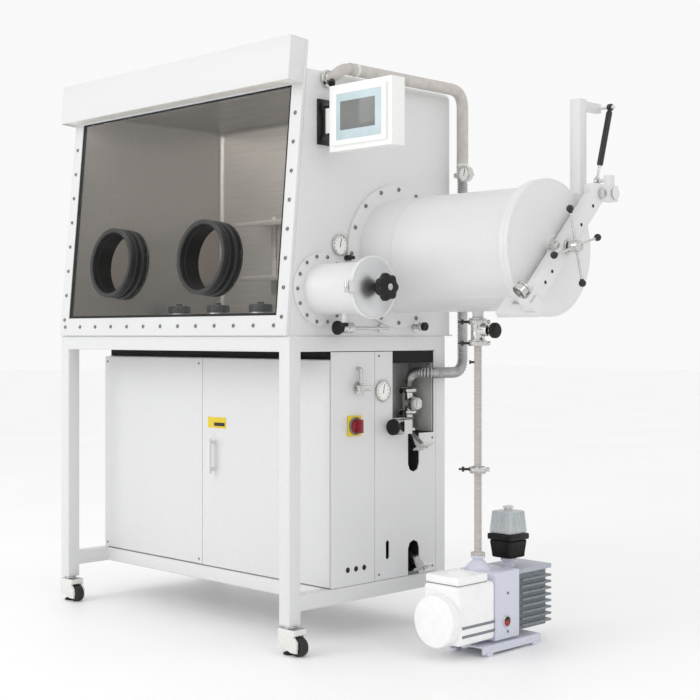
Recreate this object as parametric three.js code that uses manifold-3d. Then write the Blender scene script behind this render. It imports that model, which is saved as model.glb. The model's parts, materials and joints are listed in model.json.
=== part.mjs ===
// A single-station laboratory glove box: a stainless chamber with a leaning window and two glove ports on a
// castored stand, two transfer antechambers on its right wall, a gas purifier cabinet below it and a rotary
// vane vacuum pump beside it. Units are millimetres. +X is the operator's right, -Y the front, +Z up.
import * as THREE from "three";
import { mergeVertices } from "three/addons/utils/BufferGeometryUtils.js";
import Module from "manifold-3d";

const wasm = await Module();
wasm.setup();

// ---- driving dimensions -------------------------------------------------------------------------------
// Everything is laid out about the centre of the stand; ORIGIN_X and ORIGIN_Y then move the origin to the
// middle of the whole footprint, antechambers and pump included.
const ORIGIN_X = 359;
const ORIGIN_Y = 14.14;
const GAP = 0.3;

const STAND_HALF_X = 618;
const STAND_HALF_Y = 354;
const TUBE = 48;
const BENCH = 960;
const LOWER_RAIL = 128;
const CASTER_HEIGHT = 87;

const BOX_HALF_X = 613;
const BOX_REAR = 398;
const BOX_FACE = -350;
const BOX_TOP = 1780;
const SHEET = 4;
const LEAN = Math.atan(0.09);
const WINDOW_TOP = 905;
const PORT_X = 246;
const PORT_HEIGHT = 246;
const PORT_SIDES = 28;

const LARGE = { y: 118, z: 1218, radius: 183, inner: 179, end: 1215 };
const SMALL = { y: -222, z: 1103, radius: 78, inner: 75, end: 836 };
const LARGE_SIDES = 40;
const SMALL_SIDES = 28;
const PIVOT = { y: 351, z: 1389 };
const SPRING_TOP = { y: 424, z: 1664 };
const SPRING_FOOT = { y: 353, z: 1431 };

const CABINET = { left: -595, right: 614, front: -162, rear: 305, bottom: 176, top: 886 };
const DOOR_SEAM = -14;
const PANEL_SEAM = 15;
const PANEL_FACE = 617;

const STACK = { x: 548, y: 246, top: 785.7 };

const PUMP_X = 965;
const PUMP_AXIS_Z = 118;
const PUMP_LINE = { x: 957, y: 118 };

// ---- finishes -----------------------------------------------------------------------------------------
function finish(color, roughness, metalness) {
  return new THREE.MeshStandardMaterial({ color, roughness, metalness });
}
const WHITE_COAT = finish("#eceded", 0.45, 0.0);
const STEEL = finish("#b9bab8", 0.35, 0.9);
const BRIGHT_STEEL = finish("#d3d4d3", 0.2, 1.0);
const BLACK_PLASTIC = finish("#232324", 0.5, 0.0);
const WHITE_PLASTIC = finish("#f1f1ef", 0.5, 0.0);
const RUBBER = finish("#1b1b1c", 0.8, 0.0);
const GREY_CASTING = finish("#8f959c", 0.5, 0.4);
const LILAC_GREY = finish("#cfd2e0", 0.5, 0.2);
const INSULATION = finish("#c9c4bf", 0.9, 0.0);
const CLEAR = finish("#cfd6d8", 0.08, 0.0);
const RED_PLASTIC = finish("#8e1f2c", 0.4, 0.0);

// ---- solids -------------------------------------------------------------------------------------------
function solidOf(geometry) {
  const bare = geometry.clone();
  bare.deleteAttribute("normal");
  bare.deleteAttribute("uv");
  const merged = mergeVertices(bare, 1e-3);
  const mesh = new wasm.Mesh({
    numProp: 3,
    vertProperties: merged.attributes.position.array,
    triVerts: new Uint32Array(merged.index.array),
  });
  return new wasm.Manifold(mesh);
}

function joined(...solids) {
  return solids.reduce((whole, next) => whole.add(next));
}

function cutBy(solid, ...tools) {
  return tools.reduce((rest, tool) => rest.subtract(tool), solid);
}

function block(x, y, z) {
  const geometry = new THREE.BoxGeometry(x[1] - x[0], y[1] - y[0], z[1] - z[0]);
  geometry.translate((x[0] + x[1]) / 2, (y[0] + y[1]) / 2, (z[0] + z[1]) / 2);
  return solidOf(geometry);
}

// Turns a geometry made about the y axis to the named axis, then moves its foot to the given point.
function along(geometry, axis, at) {
  if (axis === "x") geometry.rotateZ(-Math.PI / 2);
  if (axis === "z") geometry.rotateX(Math.PI / 2);
  return geometry.translate(at[0], at[1], at[2]);
}

function rod(axis, radius, length, at, sides = 18) {
  const geometry = new THREE.CylinderGeometry(radius, radius, length, sides);
  geometry.translate(0, length / 2, 0);
  return solidOf(along(geometry, axis, at));
}

// A turned piece: profile points are [radius, height], from the axis or closed on themselves.
function turned(axis, profile, at, sides = 24) {
  const points = profile.map(([radius, height]) => new THREE.Vector2(radius, height));
  return solidOf(along(new THREE.LatheGeometry(points, sides), axis, at));
}

function ring(axis, inner, outer, length, at, sides = 24) {
  const profile = [[inner, 0], [outer, 0], [outer, length], [inner, length], [inner, 0]];
  return turned(axis, profile, at, sides);
}

// A flat plate: the outline lies in the named plane and is given thickness along the third axis.
function plate(plane, outline, from, to) {
  const geometry = new THREE.ExtrudeGeometry(outline, { depth: to - from, bevelEnabled: false });
  const x = new THREE.Vector3(1, 0, 0);
  const y = new THREE.Vector3(0, 1, 0);
  const z = new THREE.Vector3(0, 0, 1);
  if (plane === "yz") geometry.applyMatrix4(new THREE.Matrix4().makeBasis(y, z, x)).translate(from, 0, 0);
  if (plane === "xz") {
    geometry.applyMatrix4(new THREE.Matrix4().makeBasis(x, z, y.negate())).translate(0, to, 0);
  }
  if (plane === "xy") geometry.translate(0, 0, from);
  return solidOf(geometry);
}

function polygon(points) {
  return new THREE.Shape(points.map(([u, v]) => new THREE.Vector2(u, v)));
}

// A round hole, with as many sides as the turned piece that passes through it.
function circle(u, v, radius, sides) {
  const points = [];
  for (let i = 0; i < sides; i += 1) {
    const angle = (2 * Math.PI * i) / sides;
    points.push([u + radius * Math.cos(angle), v + radius * Math.sin(angle)]);
  }
  return polygon(points);
}

// A path of straight runs and bends: its stations are close together in a bend and only at the ends of a run.
class BentPath extends THREE.Curve {
  constructor(points, bend, stepsPerBend) {
    super();
    const corners = points.map((point) => new THREE.Vector3(...point));
    this.stations = [corners[0]];
    for (let i = 1; i < corners.length - 1; i += 1) {
      const corner = corners[i];
      const enter = corners[i - 1].clone().sub(corner).setLength(bend).add(corner);
      const leave = corners[i + 1].clone().sub(corner).setLength(bend).add(corner);
      const arc = new THREE.QuadraticBezierCurve3(enter, corner, leave);
      this.stations.push(...arc.getPoints(stepsPerBend));
    }
    this.stations.push(corners[corners.length - 1]);
  }

  getPoint(t) {
    const last = this.stations.length - 1;
    const place = Math.min(Math.max(t, 0), 1) * last;
    const index = Math.min(Math.floor(place), last - 1);
    return this.stations[index].clone().lerp(this.stations[index + 1], place - index);
  }

  getPointAt(u) {
    return this.getPoint(u);
  }

  getTangentAt(u) {
    return this.getTangent(u);
  }
}

// A round tube or bar along such a path.
function bentBar(points, radius, bend, sides = 12) {
  const path = new BentPath(points, bend, 4);
  const steps = path.stations.length - 1;
  const section = circle(0, 0, radius, sides);
  return solidOf(new THREE.ExtrudeGeometry(section, { extrudePath: path, steps, bevelEnabled: false }));
}

// ---- assembly -----------------------------------------------------------------------------------------
const gloveBox = new THREE.Group();
gloveBox.position.set(-ORIGIN_X, -ORIGIN_Y, 0);

function part(name, solid, material, parent = gloveBox) {
  const made = solid.getMesh();
  const geometry = new THREE.BufferGeometry();
  geometry.setAttribute("position", new THREE.BufferAttribute(new Float32Array(made.vertProperties), 3));
  geometry.setIndex(new THREE.BufferAttribute(new Uint32Array(made.triVerts), 1));
  geometry.computeVertexNormals();
  const mesh = new THREE.Mesh(geometry, material);
  mesh.name = name;
  parent.add(mesh);
  return mesh;
}

// ---- stand: square steel tube, welded ------------------------------------------------------------------
function addStand() {
  const innerX = STAND_HALF_X - TUBE;
  const innerY = STAND_HALF_Y - TUBE;
  const members = [];
  for (const side of [-1, 1]) {
    const sideX = side < 0 ? [-STAND_HALF_X, -innerX] : [innerX, STAND_HALF_X];
    const sideY = side < 0 ? [-STAND_HALF_Y, -innerY] : [innerY, STAND_HALF_Y];
    members.push(block(sideX, [-STAND_HALF_Y, -innerY], [CASTER_HEIGHT, BENCH]));
    members.push(block(sideX, [innerY, STAND_HALF_Y], [CASTER_HEIGHT, BENCH]));
    members.push(block(sideX, [-innerY, innerY], [BENCH - TUBE, BENCH]));
    members.push(block(sideX, [-innerY, innerY], [LOWER_RAIL, LOWER_RAIL + TUBE]));
    members.push(block([-innerX, innerX], sideY, [BENCH - TUBE, BENCH]));
  }
  const crossFront = CABINET.front - 18;
  members.push(block([-innerX, innerX], [crossFront, crossFront + TUBE], [LOWER_RAIL, LOWER_RAIL + TUBE]));
  members.push(block([-innerX, innerX], [innerY, STAND_HALF_Y], [LOWER_RAIL, LOWER_RAIL + TUBE]));
  part("stand_frame", joined(...members), WHITE_COAT);
}

// ---- levelling casters: a swivel housing with its levelling foot, and a wheel ---------------------------
function addCaster(corner, x, y) {
  const wheelX = 42;
  const wheelRadius = 28;
  const place = new THREE.Group();
  place.position.set(x, y, 0);
  gloveBox.add(place);
  const cheekOutline = polygon([[-8, 24], [30, 12], [54, 12], [56, 44], [30, 70], [-8, 70]]);
  const housing = joined(
    block([-26, 10], [-25, 25], [20, 80]),
    block([-26, 46], [-25, 25], [62, 80]),
    plate("xz", cheekOutline, -25, -17),
    plate("xz", cheekOutline, 17, 25),
    rod("z", 20, CASTER_HEIGHT - 78, [0, 0, 78], 12),
    rod("y", 4, 44, [wheelX, -22, wheelRadius], 8),
    turned("z", [[0, 0], [20, 0], [20, 5], [8, 10], [8, 24], [0, 24]], [0, 0, 0], 12),
  );
  part(`caster_housing_${corner}`, housing, WHITE_PLASTIC, place);
  const wheel = [
    [4.4, -14], [25, -14], [wheelRadius, -10], [wheelRadius, 10], [25, 14], [4.4, 14], [4.4, -14],
  ];
  part(`caster_wheel_${corner}`, turned("y", wheel, [wheelX, 0, wheelRadius], 20), BLACK_PLASTIC, place);
}

function addCasters() {
  const x = STAND_HALF_X - TUBE / 2;
  const y = STAND_HALF_Y - TUBE / 2;
  addCaster("front_left", -x, -y);
  addCaster("front_right", x, -y);
  addCaster("rear_left", -x, y);
  addCaster("rear_right", x, y);
}

// ---- chamber: sheet walls, floor and roof ---------------------------------------------------------------
function faceY(z) {
  return BOX_FACE + (z - BENCH) * Math.tan(LEAN);
}

function addChamber() {
  const low = BENCH + SHEET;
  const high = BOX_TOP - SHEET;
  const inside = BOX_HALF_X - SHEET;
  part("chamber_floor", block([-BOX_HALF_X, BOX_HALF_X], [faceY(low), BOX_REAR], [BENCH, low]), STEEL);
  const roof = block([-BOX_HALF_X, BOX_HALF_X], [faceY(BOX_TOP), BOX_REAR], [high, BOX_TOP]);
  part("chamber_roof", roof, WHITE_COAT);
  part("chamber_rear_wall", block([-inside, inside], [BOX_REAR - SHEET, BOX_REAR], [low, high]), WHITE_COAT);
  const side = [[faceY(low), low], [BOX_REAR, low], [BOX_REAR, high], [faceY(high), high]];
  part("chamber_left_wall", plate("yz", polygon(side), -BOX_HALF_X, -inside), WHITE_COAT);
  const pierced = polygon(side);
  pierced.holes.push(circle(LARGE.y, LARGE.z, LARGE.radius + GAP, LARGE_SIDES));
  pierced.holes.push(circle(SMALL.y, SMALL.z, SMALL.radius + GAP, SMALL_SIDES));
  part("chamber_right_wall", plate("yz", pierced, inside, BOX_HALF_X), WHITE_COAT);
}

// ---- window: a screwed frame, gasket, glass and two glove ports, all in one leaning plane ---------------
function addWindow() {
  const front = new THREE.Group();
  front.position.set(0, BOX_FACE, BENCH);
  front.rotation.x = -LEAN;
  gloveBox.add(front);

  const half = BOX_HALF_X - 50;
  const sill = 62;
  const lintel = 773;
  const rim = 8;
  const frameFace = -13;
  const glassFace = -9;
  const glassBack = -2;

  function rectangle(halfWidth, low, high) {
    return polygon([[-halfWidth, low], [halfWidth, low], [halfWidth, high], [-halfWidth, high]]);
  }
  const frame = rectangle(BOX_HALF_X, 0, WINDOW_TOP);
  frame.holes.push(rectangle(half, sill, lintel));
  part("window_frame", plate("xz", frame, frameFace, -GAP), WHITE_COAT, front);

  const gasket = rectangle(half - GAP, sill + GAP, lintel - GAP);
  gasket.holes.push(rectangle(half - rim, sill + rim, lintel - rim));
  part("window_gasket", plate("xz", gasket, -11, -GAP), RUBBER, front);

  const inset = rim + GAP;
  const glass = rectangle(half - inset, sill + inset, lintel - inset);
  const portRadius = 110;
  for (const x of [-PORT_X, PORT_X]) glass.holes.push(circle(x, PORT_HEIGHT, portRadius, PORT_SIDES));
  part("window_glass", plate("xz", glass, glassFace, glassBack), CLEAR, front);

  // Radius and distance in front of the glass; the profile closes on itself round the open port.
  const profile = [
    [104, -16], [120, -16], [120, -8], [109, -8], [109, 0], [121, 0], [121, 8], [115, 10], [115, 30],
    [120, 34], [120, 62], [104, 62], [104, -16],
  ];
  const ahead = profile.map(([radius, distance]) => [radius, glassFace - GAP - distance]).reverse();
  for (const [side, x] of [["left", -PORT_X], ["right", PORT_X]]) {
    const port = turned("y", ahead, [x, 0, PORT_HEIGHT], PORT_SIDES);
    part(`glove_port_${side}`, port, BLACK_PLASTIC, front);
  }

  const hoodFront = frameFace - GAP - 60;
  const hoodLow = 768;
  const hoodX = [-BOX_HALF_X - 6, BOX_HALF_X];
  const hood = cutBy(
    block(hoodX, [hoodFront, frameFace - GAP], [hoodLow, WINDOW_TOP]),
    block([hoodX[0] + 2, hoodX[1] - 2], [hoodFront + 2, frameFace - 4], [hoodLow - 2, WINDOW_TOP - 2]),
  );
  part("lamp_hood", hood, WHITE_COAT, front);
}

// ---- inside the chamber ---------------------------------------------------------------------------------
function shelf(x, z) {
  const rear = BOX_REAR - SHEET;
  const lip = 18;
  return joined(
    block(x, [rear - 154, rear - 2], [z, z + 3]),
    block(x, [rear - 154, rear - 151], [z - lip, z + 3]),
  );
}

function addShelfRack() {
  const rear = BOX_REAR - SHEET;
  const uprights = [-290, 290].map((x) => block([x - 12, x + 12], [rear - 6, rear], [1120, 1420]));
  const rack = joined(shelf([-360, 580], 1388), shelf([-320, 320], 1183), ...uprights);
  part("shelf_rack", rack, STEEL);
}

// ---- large antechamber ----------------------------------------------------------------------------------
// A box on the swing beam, which lies at 45 degrees across the door: u runs up along it and n square to it.
function onBeam(x, u, n) {
  const geometry = new THREE.BoxGeometry(x[1] - x[0], u[1] - u[0], n[1] - n[0]);
  geometry.translate((x[0] + x[1]) / 2, (u[0] + u[1]) / 2, (n[0] + n[1]) / 2);
  // Local y lies along the beam and local z square to it.
  return solidOf(geometry.rotateX(Math.PI / 4).translate(0, LARGE.y, LARGE.z));
}

function addLargeAntechamber() {
  const { y, z, radius, inner, end } = LARGE;
  const seat = 201;
  const tubeStart = 590;
  const tube = joined(
    ring("x", inner, radius, end - tubeStart, [tubeStart, y, z], LARGE_SIDES),
    ring("x", radius - 2, 230, 12, [BOX_HALF_X, y, z], LARGE_SIDES),
    ring("x", radius - 2, seat, 18, [end - 18, y, z], LARGE_SIDES),
    rod("z", 17, 24, [PUMP_LINE.x, y, z - radius - 20], 20),
  );
  const groove = ring("x", 187.7, 197.3, 6, [end - 3.4, y, z], LARGE_SIDES);
  const bore = rod("x", inner, end - tubeStart, [tubeStart, y, z], LARGE_SIDES);
  // The catch is a hooked bar welded to the tube, and the lower end of the closed beam rests in it.
  const hook = joined(
    onBeam([1150, 1300], [-246, -210], [-44, -26]),
    onBeam([1294, 1300], [-246, -210], [-44, 8]),
    onBeam([1150, 1190], [-246, -170], [-44, -26]),
  );
  part("large_antechamber_tube", cutBy(joined(tube, hook), groove, bore), WHITE_COAT);

  const tray = joined(
    block([625, 1085], [y - 112, y + 112], [z - 134, z - 131]),
    block([625, 1085], [y - 112, y - 109], [z - 134, z - 108]),
    block([625, 1085], [y + 109, y + 112], [z - 134, z - 108]),
    block([625, 628], [y - 112, y + 112], [z - 134, z - 108]),
    block([1082, 1085], [y - 112, y + 112], [z - 134, z - 108]),
  );
  part("large_sliding_tray", tray, STEEL);

  const doorFace = end + 0.6;
  const disc = [
    [0, 0], [seat, 0], [seat, 16], [196, 22], [40, 26], [40, 34], [10.6, 34], [10.6, 17], [0, 17],
  ];
  part("large_outer_door", turned("x", disc, [doorFace, y, z], LARGE_SIDES), WHITE_COAT);

  const innerDoor = joined(
    turned("x", [[0, -14], [190, -14], [193, -8], [193, 0], [0, 0]], [tubeStart - GAP, y, z], 40),
    block([570, 578], [y - 204, y - 150], [z - 50, z + 50]),
    rod("x", 16, 34, [tubeStart - 44, y, z], 16),
    block([tubeStart - 48, tubeStart - 40], [y - 8, y + 8], [z - 75, z + 75]),
  );
  part("large_inner_door", innerDoor, BRIGHT_STEEL);
}

// Door lift: a post on the antechamber carries the swinging beam, and a gas spring holds it up.
function addDoorLift() {
  const { y, z, radius, end } = LARGE;
  const beamX = [1256, 1292];
  const postX = [1158, 1196];
  const post = joined(
    block(postX, [314, 348], [1330, 1684]),
    block(postX, [225, 348], [1330, 1392]),
    block([1172, 1196], [340, 362], [1372, 1406]),
    rod("x", 10, 104, [1196 - 4, PIVOT.y, PIVOT.z], 20),
    block([1166, 1188], [340, 438], [1652, 1680]),
    rod("x", 5, 64, [1182, SPRING_TOP.y, SPRING_TOP.z], 12),
  );
  part("door_lift_post", cutBy(post, rod("x", radius + GAP, 80, [1140, y, z], LARGE_SIDES)), WHITE_COAT);

  const arm = joined(
    onBeam(beamX, [-244, 232], [-24, 24]),
    block(beamX, [250, PIVOT.y + 24], [PIVOT.z - 24, PIVOT.z + 24]),
    block([1262, 1286], [SPRING_FOOT.y - 12, SPRING_FOOT.y + 12], [PIVOT.z, SPRING_FOOT.z + 14]),
    rod("x", 16, 40, [1204, PIVOT.y, PIVOT.z], 20),
    rod("x", 22, 54, [1240, PIVOT.y, PIVOT.z], 24),
    rod("x", 6, 26, [1240, SPRING_FOOT.y, SPRING_FOOT.z], 12),
  );
  const pivotBore = rod("x", 10.6, 130, [1190, PIVOT.y, PIVOT.z], 20);
  const screwBore = rod("x", 11.6, 60, [1245, y, z], 20);
  part("door_swing_arm", cutBy(arm, pivotBore, screwBore), WHITE_COAT);

  const wheelParts = [
    rod("x", 10, 62, [end + 27, y, z], 18),
    rod("x", 20, 36, [1302, y, z], 20),
  ];
  for (let i = 0; i < 4; i += 1) {
    const angle = THREE.MathUtils.degToRad(16 + 90 * i);
    const spoke = new THREE.CylinderGeometry(4.5, 4.5, 100, 6).translate(0, 58, 0);
    const ball = new THREE.SphereGeometry(14, 10, 6).translate(0, 110, 0);
    for (const shape of [spoke, ball]) {
      shape.rotateX(angle).translate(1322, y, z);
      wheelParts.push(solidOf(shape));
    }
  }
  part("door_handwheel", joined(...wheelParts), BLACK_PLASTIC);

  const run = new THREE.Vector2(SPRING_FOOT.y - SPRING_TOP.y, SPRING_FOOT.z - SPRING_TOP.z);
  const spring = new THREE.Group();
  spring.position.set(1230, SPRING_TOP.y, SPRING_TOP.z);
  spring.rotation.x = Math.atan2(run.x, -run.y);
  gloveBox.add(spring);
  const bodyLength = 192;
  const body = joined(
    rod("z", 10, bodyLength, [0, 0, -bodyLength], 20),
    rod("x", 12, 16, [-8, 0, 0], 20),
  );
  const springBore = rod("z", 4.6, bodyLength - 30, [0, 0, -bodyLength - 2], 12);
  const eyeBore = rod("x", 5.6, 30, [-15, 0, 0], 12);
  part("gas_spring_cylinder", cutBy(body, springBore, eyeBore), BLACK_PLASTIC, spring);
  const reach = run.length();
  const rodSolid = joined(
    rod("z", 4, 100, [0, 0, -reach + 4], 12),
    rod("x", 11, 14, [-7, 0, -reach], 16),
  );
  part("gas_spring_rod", rodSolid, BRIGHT_STEEL, spring);
}

// ---- small antechamber ----------------------------------------------------------------------------------
function addSmallAntechamber() {
  const { y, z, radius, inner, end } = SMALL;
  const tube = joined(
    ring("x", inner, radius, end - 592, [592, y, z], SMALL_SIDES),
    ring("x", radius - 1.5, 112, 9, [BOX_HALF_X, y, z], SMALL_SIDES),
    ring("x", radius - 1.5, 92, 8, [end - 8, y, z], SMALL_SIDES),
    block([end - 8, end], [y - 112, y - 88], [z - 18, z + 18]),
    rod("z", 8, 30, [720, y, z - radius - 26], 10),
  );
  const bore = rod("x", inner, end - 592, [592, y, z], SMALL_SIDES);
  part("small_antechamber_tube", cutBy(tube, bore), WHITE_COAT);
  const lid = joined(
    turned("x", [[0, 0], [93.5, 0], [93.5, 8], [88, 13], [0, 17]], [end + 0.5, y, z], SMALL_SIDES),
    block([end + 2, end + 14], [y - 116, y - 84], [z - 15, z + 15]),
    rod("z", 7, 34, [end + 8, y - 113, z - 17], 14),
    rod("x", 7, 46, [end + 12, y, z], 12),
  );
  part("small_outer_door", lid, BRIGHT_STEEL);
  const grip = [[0, 0], [16, 0], [34, 8], [34, 22], [28, 28], [0, 28]];
  const lobes = [turned("x", grip, [end + 44, y, z], 24)];
  for (let i = 0; i < 6; i += 1) {
    const angle = (Math.PI / 3) * i;
    lobes.push(rod("x", 11, 18, [end + 50, y + 31 * Math.cos(angle), z + 31 * Math.sin(angle)], 8));
  }
  lobes.push(rod("x", 15, 22, [end + 24, y, z], 14));
  const knob = cutBy(joined(...lobes), rod("x", 7.4, 40, [end + 20, y, z], 12));
  part("small_door_knob", knob, BLACK_PLASTIC);

  const innerDoor = joined(
    turned("x", [[0, -12], [84, -12], [87, -6], [87, 0], [0, 0]], [592 - GAP, y, z], SMALL_SIDES),
    block([574, 582], [y + 70, y + 100], [z - 22, z + 22]),
    rod("x", 9, 26, [592 - 36, y, z], 12),
    block([552, 560], [y - 40, y + 40], [z - 7, z + 7]),
  );
  part("small_inner_door", innerDoor, BRIGHT_STEEL);

}

// A hand valve under the small antechamber, on a pipe that turns into the chamber wall.
function addPurgeLine() {
  const at = { x: 660, y: -178, z: 985, wallY: 40 };
  const route = [[at.x, at.y + 30, at.z], [at.x, at.wallY, at.z], [BOX_HALF_X, at.wallY, at.z]];
  const pipe = bentBar(route, 5, 22, 8);
  const valve = joined(
    rod("y", 17, 46, [at.x, at.y, at.z], 16),
    rod("y", 9, 12, [at.x, at.y + 44, at.z], 12),
    rod("x", 12, 8, [BOX_HALF_X, at.wallY, at.z], 12),
    pipe,
  );
  part("purge_line_valve", valve, STEEL);
  const knob = joined(
    rod("y", 22, 10, [at.x, at.y - 20, at.z], 18),
    rod("y", 9, 12, [at.x, at.y - 12.3, at.z], 12),
  );
  part("purge_line_knob", knob, BLACK_PLASTIC);
}

// ---- control panel, gauges and gas pipe -----------------------------------------------------------------
function addControlPanel() {
  const bracket = joined(
    block([BOX_HALF_X, BOX_HALF_X + 6], [-236, -176], [1546, 1686]),
    block([BOX_HALF_X, 652], [-222, -194], [1556, 1570]),
    block([BOX_HALF_X, 652], [-222, -194], [1662, 1676]),
    rod("z", 7, 112, [644, -208, 1560], 14),
  );
  part("panel_bracket", bracket, BLACK_PLASTIC);
  const box = joined(
    block([668, 928], [-235, -180], [1516, 1716]),
    block([644, 680], [-220, -196], [1580, 1652]),
    rod("z", 15, 76, [644, -208, 1578], 20),
  );
  const bezel = block([686, 910], [-243, -234], [1532, 1700]);
  const screen = block([712, 884], [-250, -240], [1556, 1676]);
  const swivel = rod("z", 7.5, 90, [644, -208, 1570], 14);
  part("control_panel", cutBy(joined(box, bezel), screen, swivel), WHITE_PLASTIC);
}

function addPiping() {
  const pipeX = 652;
  const neck = [[616, -196, 1752], [pipeX, -196, 1752], [pipeX, -150, 1785], [pipeX, -120, 1785]];
  const elbow = joined(
    rod("x", 26, 12, [BOX_HALF_X, -196, 1752], 20),
    bentBar(neck, 13, 14, 12),
    rod("x", 9, 26, [pipeX, -196, 1752], 12),
  );
  const run = [[pipeX, -147, 1785], [pipeX, 404, 1785], [pipeX, 404, 1510]];
  part("gas_pipe", joined(elbow, bentBar(run, 19.5, 60, 12)), INSULATION);
  const hose = [
    [pipeX, 404, 1500], [pipeX, 404, 838], [pipeX, STACK.y, 838],
    [STACK.x, STACK.y, 838], [STACK.x, STACK.y, 786],
  ];
  const clamp = rod("z", 30, 18, [pipeX, 404, 1491.7], 24);
  part("circulation_hose", joined(bentBar(hose, 18.5, 48, 12), clamp), BRIGHT_STEEL);
}

function addAntechamberLine() {
  const { x } = PUMP_LINE;
  const { y, z, radius } = LARGE;
  const top = z - radius - 20;
  const flanges = joined(
    ring("z", 10, 27, 10, [x, y, top - 10.3], 24),
    rod("z", 22, 62, [x, y, top - 66], 20),
    ring("z", 10, 27, 10, [x, y, top - 76], 24),
    rod("x", 18, 40, [x + 4, y, top - 38], 18),
    rod("x", 6, 14, [x + 40, y, top - 38], 10),
  );
  part("pump_line_valve", flanges, STEEL);
  const knob = [[0, 0], [10, 0], [24, 6], [24, 18], [18, 24], [0, 24]];
  part("pump_line_knob", turned("x", knob, [x + 54.3, y, top - 38], 20), BLACK_PLASTIC);
  const line = joined(
    ring("z", 9, 24, 8, [x, y, top - 84.3], 24),
    bentBar([[x, y, top - 80], [x, y, 420], [x, y, 296]], 11.5, 20, 12),
    rod("z", 25, 14, [x, y, 540], 20),
    rod("z", 22, 8, [x, y, 290], 20),
  );
  part("pump_line", line, INSULATION);
}

// ---- purifier cabinet -----------------------------------------------------------------------------------
function addCabinet() {
  const { left, right, front, rear, bottom, top } = CABINET;
  const sheet = 3;
  const hollowX = [left + sheet, right - sheet];
  const hollow = block(hollowX, [front - 1, rear - sheet], [bottom + sheet, top - sheet]);
  const serviceFront = block([right - 5, right + 1], [-130, -10], [210, 860]);
  const serviceRear = block([right - 5, right + 1], [45, 300], [bottom + 12, top - 12]);
  const casing = block([left, right], [front, rear], [bottom, top]);
  const shell = cutBy(casing, hollow, serviceFront, serviceRear);
  part("cabinet_shell", shell, WHITE_COAT);

  const doorBack = front - GAP;
  const doorFront = front - 18;
  const doorHeight = [bottom + 4, top - 2];
  const leftPanel = block([left + 2, DOOR_SEAM - 2], [doorFront, doorBack], doorHeight);
  part("cabinet_left_panel", leftPanel, WHITE_COAT);
  const door = block([DOOR_SEAM + 1, right - 3], [doorFront, doorBack], doorHeight);
  const handle = joined(
    block([45, 61], [doorFront - 30, doorFront - 22], [497, 615]),
    block([48, 58], [doorFront - 24, doorFront + 2], [505, 517]),
    block([48, 58], [doorFront - 24, doorFront + 2], [595, 607]),
  );
  part("cabinet_door", joined(door, handle), WHITE_COAT);

  const low = bottom + 2;
  const high = BENCH - TUBE - 2;
  const frontPanel = polygon([
    [front - 16, low], [PANEL_SEAM - 1, low], [PANEL_SEAM - 1, high], [front - 16, high],
  ]);
  for (const y of [-106, -69.5, -33]) frontPanel.holes.push(circle(y, 228, 9, 16));
  part("side_panel_front", plate("yz", frontPanel, right, PANEL_FACE), WHITE_COAT);

  const slot = 27;
  const slotY = 198;
  const rearPanel = polygon([
    [PANEL_SEAM + 1, low], [slotY - slot, low], [slotY - slot, 264], [slotY - 19, 283], [slotY, 291],
    [slotY + 19, 283], [slotY + slot, 264], [slotY + slot, low], [rear, low], [rear, high], [297, high],
    [297, 640], [slotY + slot, 640], [slotY + slot, 541], [slotY + 19, 522], [slotY, 514],
    [slotY - 19, 522], [slotY - slot, 541], [slotY - slot, 640], [97, 640], [97, high],
    [PANEL_SEAM + 1, high],
  ]);
  rearPanel.holes.push(polygon([[66, 246], [74, 240], [82, 246], [82, 297], [74, 303], [66, 297]]));
  part("side_panel_rear", plate("yz", rearPanel, right, PANEL_FACE), WHITE_COAT);

  const floor = bottom + sheet;
  const column = [
    [0, 0], [105, 0], [105, 20], [100, 24], [100, 470], [80, 500], [30, 512], [30, 530], [0, 530],
  ];
  part("purifier_column_left", turned("z", column, [-420, 150, floor], 32), STEEL);
  part("purifier_column_right", turned("z", column, [-160, 150, floor], 32), STEEL);
}

function addCabinetControls() {
  const switchY = -80;
  const switchZ = 678;
  const knob = joined(
    rod("x", 23, 14, [PANEL_FACE + 7.5, switchY, switchZ], 24),
    block([PANEL_FACE + 18, PANEL_FACE + 38], [switchY - 6, switchY + 6], [switchZ - 21, switchZ + 21]),
  );
  part("main_switch_knob", knob, RED_PLASTIC);

  // Valve stack in the recess: flanged tees one above another, with a hand valve on the lowest.
  const stack = STACK;
  const tees = joined(
    rod("z", 20, stack.top - 636, [stack.x, stack.y, 636], 20),
    rod("z", 30, 14, [stack.x, stack.y, 700], 24),
    rod("z", 30, 14, [stack.x, stack.y, stack.top - 14], 24),
    rod("z", 30, 14, [stack.x, stack.y, 640], 24),
    rod("x", 22, 30, [stack.x, stack.y, 735], 18),
    rod("x", 15, 52, [stack.x, stack.y, 735], 18),
    rod("x", 11, 600, [stack.x - 600, stack.y, 650], 8),
    block([stack.x - 22, stack.x + 22], [104, stack.y], [674, 690]),
    block([stack.x - 22, 664], [104, 140], [645, 690]),
  );
  part("valve_stack", tees, STEEL);
  const star = joined(
    rod("y", 26, 12, [648, 62, 668], 18),
    rod("y", 8, 30, [648, 73.7, 668], 10),
  );
  part("stack_star_knob", star, BLACK_PLASTIC);
}

// Foot pedals: each is a lever on a cross pin inside the cabinet, standing out through its slot.
function addPedal(name, z) {
  const y = 198;
  const arm = polygon([
    [548, z + 8], [556, z - 8], [572, z - 10], [655, z - 66],
    [672, z - 66], [672, z - 60], [580, z + 10], [556, z + 14],
  ]);
  const tread = polygon([[640, z - 70], [686, z - 44], [682, z - 38], [636, z - 64]]);
  const pedal = joined(
    plate("xz", arm, y - 12, y + 12),
    rod("y", 12, 24, [560, y - 12, z + 2], 14),
    plate("xz", tread, y - 24, y + 24),
  );
  part(name, pedal, BRIGHT_STEEL);
}

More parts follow.
